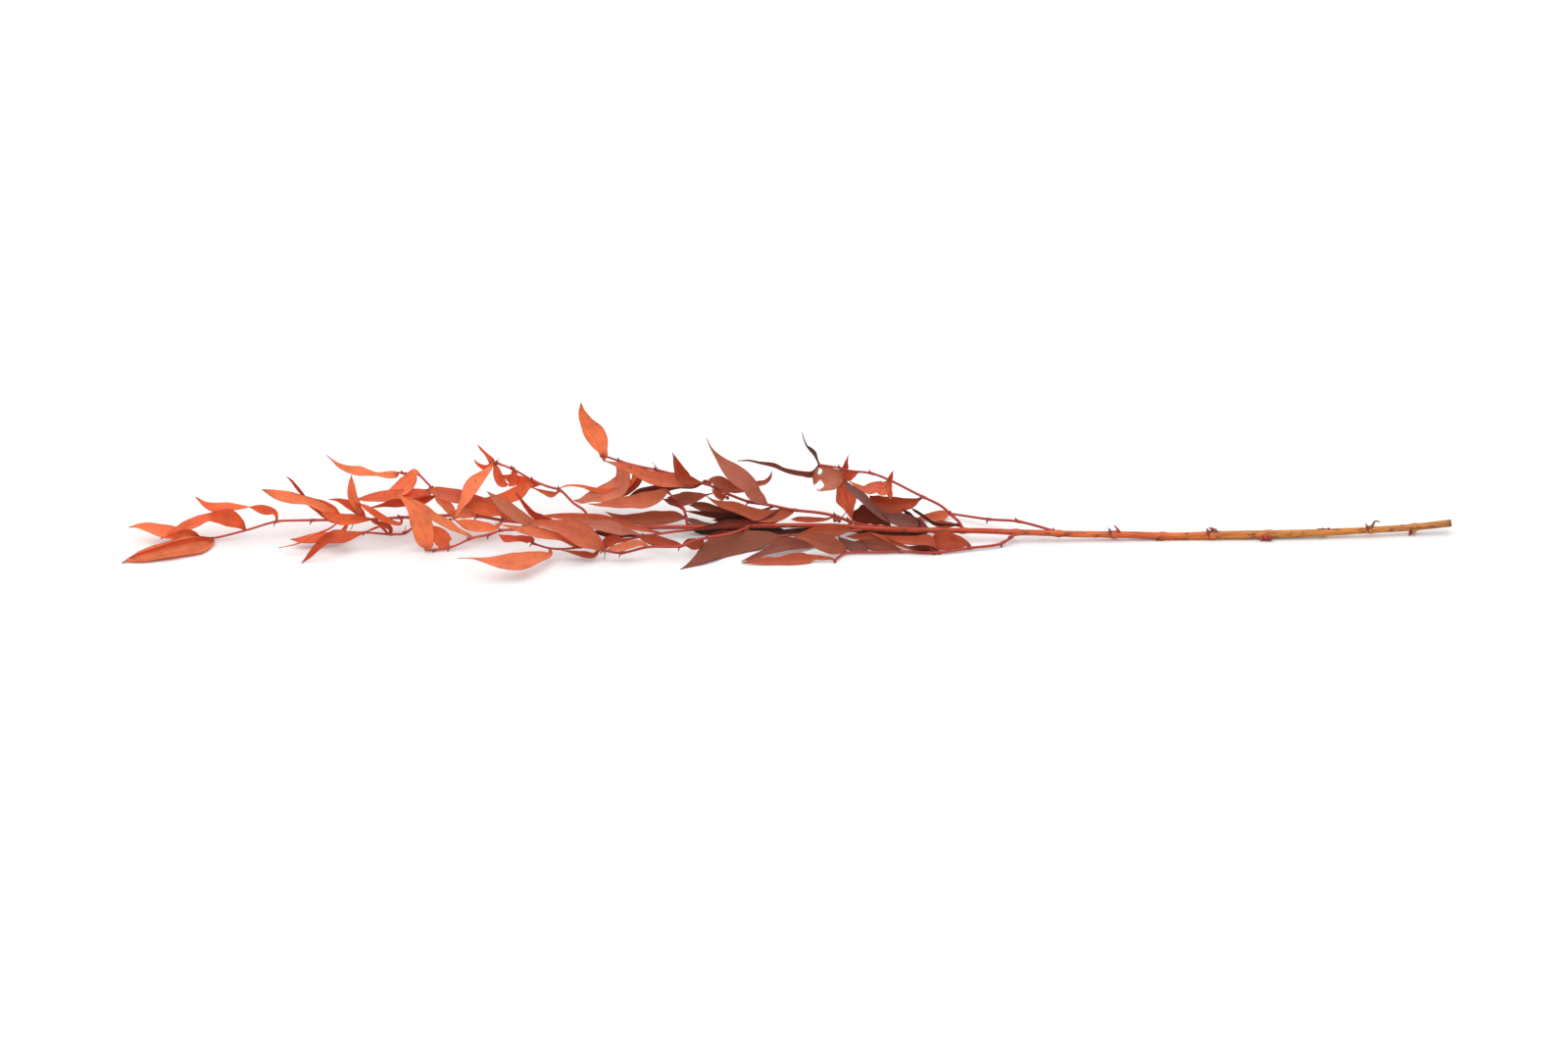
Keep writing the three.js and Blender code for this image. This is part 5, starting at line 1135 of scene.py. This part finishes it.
def grain(tree, vector, along, across):
    """A vector for patterns drawn out along the stem, in repeats for each metre."""
    inputs = {"Vector": vector, "Scale": (along, across, across)}
    return node(tree, "ShaderNodeMapping", inputs).outputs[0]


def body_place(tree):
    return node(tree, "ShaderNodeTexCoord").outputs["Object"]


def dye_colour(tree):
    return node(tree, "ShaderNodeAttribute", attribute_name="Dye").outputs["Color"]


def covered(tree, colour, roughness, specular=0.5, height=None, strength=0.0, depth=0.0):
    """A surface whose bumps follow "height", and are at most "depth" metres deep."""
    inputs = {"Base Color": colour, "Roughness": roughness, "Specular IOR Level": specular}
    if height is not None:
        bump = node(tree, "ShaderNodeBump", {"Strength": strength, "Distance": depth, "Height": height})
        inputs["Normal"] = bump.outputs[0]
    return node(tree, "ShaderNodeBsdfPrincipled", inputs)


def new_material(name, make_shader):
    material = bpy.data.materials.new(name)
    material.use_nodes = True
    tree = material.node_tree
    tree.nodes.clear()
    node(tree, "ShaderNodeOutputMaterial", {"Surface": make_shader(tree).outputs[0]})
    return material


def blade_shader(tree):
    place_on_blade = node(tree, "ShaderNodeUVMap", uv_map="Blade").outputs["UV"]
    parts = node(tree, "ShaderNodeSeparateXYZ", {0: place_on_blade})
    across, share = parts.outputs[0], parts.outputs[1]
    body = body_place(tree)
    # each blade's pattern starts at another even number across
    fraction = arithmetic(tree, "PINGPONG", across, 1.0)
    from_midrib = arithmetic(tree, "ABSOLUTE", arithmetic(tree, "SUBTRACT", fraction, 0.5))

    long_grain = node(tree, "ShaderNodeCombineXYZ", {
        0: arithmetic(tree, "MULTIPLY", across, 30.0),
        1: arithmetic(tree, "MULTIPLY", share, 3.0),
    }).outputs[0]
    streaks = noised(tree, long_grain, scale=1.0, detail=3.0, roughness=0.6)
    wander = noised(tree, long_grain, scale=0.2, detail=1.0)
    vein_phase = arithmetic(tree, "ADD", fraction, arithmetic(tree, "MULTIPLY", wander, VEIN_WANDER))
    vein_wave = arithmetic(tree, "SINE", arithmetic(tree, "MULTIPLY", vein_phase, FULL_TURN * VEINS))
    veins = ramped(tree, vein_wave, low=0.2, high=1.0)
    midrib = ramped(tree, from_midrib, low=0.035, high=0.0)
    mottle = noised(tree, body, scale=95.0, detail=3.0, roughness=0.6)
    blotch = noised(tree, body, scale=34.0)
    spots = ramped(tree, noised(tree, body, scale=420.0, detail=1.0), low=0.72, high=0.78)

    light = ramped(tree, streaks, low=0.25, high=0.75, to_low=0.88, to_high=1.24)
    colour = blended(tree, 1.0, dye_colour(tree), DYE_TINT, "MULTIPLY")
    grey = node(tree, "ShaderNodeCombineXYZ", {0: light, 1: light, 2: light}).outputs[0]
    colour = blended(tree, 1.0, colour, grey, "MULTIPLY")
    red_share = ramped(tree, mottle, low=0.45, high=0.75, to_high=0.35)
    colour = blended(tree, red_share, colour, painted(RED_STAIN))
    dull_share = ramped(tree, blotch, low=0.5, high=0.8, to_high=0.25)
    colour = blended(tree, dull_share, colour, DULL_TINT, "MULTIPLY")
    vein_share = arithmetic(tree, "MULTIPLY", veins, VEIN_SHARE)
    colour = blended(tree, vein_share, colour, VEIN_TINT, "MULTIPLY")
    midrib_share = arithmetic(tree, "MULTIPLY", midrib, MIDRIB_SHARE)
    colour = blended(tree, midrib_share, colour, MIDRIB_TINT, "MULTIPLY")
    margin_share = ramped(tree, from_midrib, low=0.44, high=0.5, to_high=0.55)
    colour = blended(tree, margin_share, colour, MARGIN_TINT, "MULTIPLY")
    tip_share = ramped(tree, share, low=0.93, high=0.99, to_high=0.7)
    colour = blended(tree, tip_share, colour, painted(DRY_TIP))
    foot_share = ramped(tree, share, low=0.1, high=0.0, to_high=0.6)
    colour = blended(tree, foot_share, colour, painted(RED_FOOT))
    colour = blended(tree, arithmetic(tree, "MULTIPLY", spots, SPOT_SHARE), colour, painted(SPOT))

    height = arithmetic(tree, "ADD", arithmetic(tree, "MULTIPLY", veins, VEIN_HEIGHT), streaks)
    height = arithmetic(tree, "SUBTRACT", height, midrib)
    roughness = ramped(tree, streaks, low=0.3, high=0.7, to_low=0.42, to_high=0.58)
    surface = covered(tree, colour, roughness, specular=0.4, height=height, strength=0.35, depth=0.0002)
    passed = node(tree, "ShaderNodeGamma", {"Color": colour, "Gamma": PASSED_GAMMA}).outputs[0]
    thin = node(tree, "ShaderNodeBsdfTranslucent", {"Color": passed})
    inputs = {0: PASSED_SHARE, 1: surface.outputs[0], 2: thin.outputs[0]}
    return node(tree, "ShaderNodeMixShader", inputs)


def twig_shader(tree):
    long_grain = grain(tree, body_place(tree), along=60.0, across=500.0)
    fibres = noised(tree, long_grain, scale=1.0, roughness=0.6)
    fibre_share = ramped(tree, fibres, low=0.4, high=0.75, to_high=0.5)
    colour = blended(tree, fibre_share, dye_colour(tree), painted(TWIG_FIBRE))
    roughness = ramped(tree, fibres, low=0.3, high=0.7, to_low=0.4, to_high=0.55)
    return covered(tree, colour, roughness, specular=0.4, height=fibres, strength=0.3, depth=0.0002)


def bark_shader(tree):
    body = body_place(tree)
    along = node(tree, "ShaderNodeSeparateXYZ", {0: body}).outputs[0]
    low, high = BARK_COLOURS[0][0], BARK_COLOURS[-1][0]
    ramp = tree.nodes.new("ShaderNodeValToRGB")
    stops = ramp.color_ramp.elements
    while len(stops) < len(BARK_COLOURS):
        stops.new(0.5)
    for stop, (x, colour) in zip(stops, BARK_COLOURS):
        stop.position = (x - low) / (high - low)
        stop.color = painted(colour)
    tree.links.new(ramped(tree, along, low * MM, high * MM), ramp.inputs[0])
    fine_grain = grain(tree, body, along=45.0, across=800.0)
    fibres = noised(tree, fine_grain, scale=1.0, detail=4.0, roughness=0.65)
    patches = noised(tree, grain(tree, body, along=70.0, across=200.0), scale=1.0, detail=3.0)
    specks = noised(tree, grain(tree, body, along=130.0, across=420.0), scale=1.0)
    dark_fibres = ramped(tree, fibres, low=0.42, high=0.7, to_high=0.8)
    colour = blended(tree, dark_fibres, ramp.outputs[0], FIBRE_TINT, "MULTIPLY")
    worn = ramped(tree, patches, low=0.5, high=0.75, to_high=0.55)
    colour = blended(tree, worn, colour, painted(WORN_BARK))
    flecks = ramped(tree, specks, low=0.56, high=0.66, to_high=0.75)
    colour = blended(tree, flecks, colour, painted(BARK_FLECK))
    roughness = ramped(tree, fibres, low=0.3, high=0.7, to_low=0.5, to_high=0.7)
    return covered(tree, colour, roughness, specular=0.35, height=fibres, strength=0.5, depth=0.0004)


def cut_shader(tree):
    pores = noised(tree, body_place(tree), scale=2500.0, detail=3.0, roughness=0.7)
    colour = blended(tree, ramped(tree, pores, low=0.35, high=0.7), painted(PITH), painted(PORE))
    return covered(tree, colour, roughness=0.8)


def floor_shader(tree):
    return covered(tree, FLOOR_COLOUR, roughness=0.9, specular=0.1)


# The woody stem

def stem_radius(along):
    radii = WOODY_STEM["radii"]
    after = 1
    while after < len(radii) - 1 and radii[after][0] > along:
        after += 1
    x0, r0 = radii[after - 1]
    x1, r1 = radii[after]
    plain = mix(r0, r1, (along - x0) / (x1 - x0))
    swell = sum(math.exp(-(((along - x) / STEM_NODE_REACH) ** 2)) for x in WOODY_STEM["nodes"])
    knobs = KNOB_HEIGHT * noise.noise(Vector((along * KNOB_RATE, 0, 0)))
    return plain + STEM_SPARE + STEM_NODE_SWELL * min(swell, 1) + knobs


def make_woody_stem(bark, cut, scale):
    sheaf = Sheaf("woody_stem_bark")
    scales = Sheaf("woody_stem_scales")
    course = Course([place(row) for row in WOODY_STEM["course"]])
    dye = linear(DYES["scale"])
    shares = even_shares(course.length, STEM_STEP)
    add_tube(sheaf, course, shares, lambda s: stem_radius(course.point(s).x), STEM_SIDES, dye, end_slot=1)
    for along, lean in WOODY_STEM["bracts"]:
        share = course.share_at(along)
        root, forward = course.point(share), course.forward(share)
        add_bract(scales, root, forward, lean, stem_radius(along), STEM_BRACT_LENGTH)
    add_knots_and_spurs(scales, "woody_stem")
    return sheaf.build([bark, cut], STEM_CREASE), scales.build([scale], STEM_CREASE)


# The shoots

def make_shoot(name, row, materials):
    course = Course([place(point) for point in row["course"]])
    twig_dye = linear(DYES["orange_twig" if row["dye"] == "orange" else "red_twig"])
    first, last = row["radii"]
    knot_shares = [course.share_at(along) for along, _ in row["bracts"]]

    def radius_at(share):
        swell = sum(math.exp(-(((share - s) * course.length / NODE_REACH) ** 2)) for s in knot_shares)
        return mix(first, last, share) + TWIG_SPARE + NODE_SWELL * min(swell, 1)

    twigs = Sheaf(name + "_twig")
    add_tube(twigs, course, even_shares(course.length, TWIG_STEP), radius_at, TWIG_SIDES, twig_dye)
    for share, (_, lean) in zip(knot_shares, row["bracts"]):
        add_bract(twigs, course.point(share), course.forward(share), lean, radius_at(share), BRACT_LENGTH)
    add_knots_and_spurs(twigs, name)
    blades = Sheaf(name + "_blades")
    bitten = Sheaf(name + "_bitten_blade")
    for i, each in enumerate(row["blades"] + CURLS.get(name, [])):
        root = course.point(course.share_at(each["at"]))
        add_blade(bitten if (name, i) == (BITTEN_SHOOT, BITTEN_BLADE) else blades, root, each)
    pieces = [
        twigs.build([materials["twig"]], SHOOT_CREASE),
        blades.build([materials["blade"]], SHOOT_CREASE),
    ]
    if bitten.faces:
        pieces.append(bitten.build([materials["blade"]], SHOOT_CREASE))
        take_bites(pieces[-1])
    return pieces


# Light, floor and camera

def make_floor(material):
    mesh = bpy.data.meshes.new("floor")
    corners = [(x * FLOOR_HALF, y * FLOOR_HALF, 0) for x, y in ((-1, -1), (1, -1), (1, 1), (-1, 1))]
    mesh.from_pydata(corners, [], [(0, 1, 2, 3)])
    mesh.materials.append(material)
    linked("floor", mesh)


def make_light():
    sun = bpy.data.lights.new("overhead", "SUN")
    sun.energy = 1.9
    sun.angle = math.radians(90)
    lamp = linked("overhead", sun)
    lamp.rotation_euler = (math.radians(8), math.radians(-4), 0)
    world = bpy.data.worlds.new("studio")
    world.use_nodes = True
    world.node_tree.nodes["Background"].inputs["Color"].default_value = (1, 1, 1, 1)
    world.node_tree.nodes["Background"].inputs["Strength"].default_value = 1.05
    bpy.context.scene.world = world


def make_camera():
    camera = bpy.data.cameras.new("eye")
    camera.type = "ORTHO"
    camera.ortho_scale = PICTURE_WIDTH * MM
    camera.clip_end = 20
    eye = linked("eye", camera)
    eye.location = (place(PICTURE_MIDDLE) + TO_EYE * EYE_DISTANCE) * MM
    eye.rotation_euler = (math.pi / 2 - SIGHT_ELEVATION, 0, 0)
    bpy.context.scene.camera = eye


make_camera()
make_light()
make_floor(new_material("pale_floor", floor_shader))
bpy.context.scene.view_settings.view_transform = "Standard"

materials = {
    "twig": new_material("dyed_twig", twig_shader),
    "blade": new_material("dyed_blade", blade_shader),
}
bark = new_material("dyed_bark", bark_shader)
cut_wood = new_material("cut_wood", cut_shader)
for piece in make_woody_stem(bark, cut_wood, materials["twig"]):
    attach(piece, "root")
    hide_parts("woody_stem")
for name, row in SHOOTS.items():
    for piece in make_shoot(name, row, materials):
        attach(piece, "root")
        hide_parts(name)
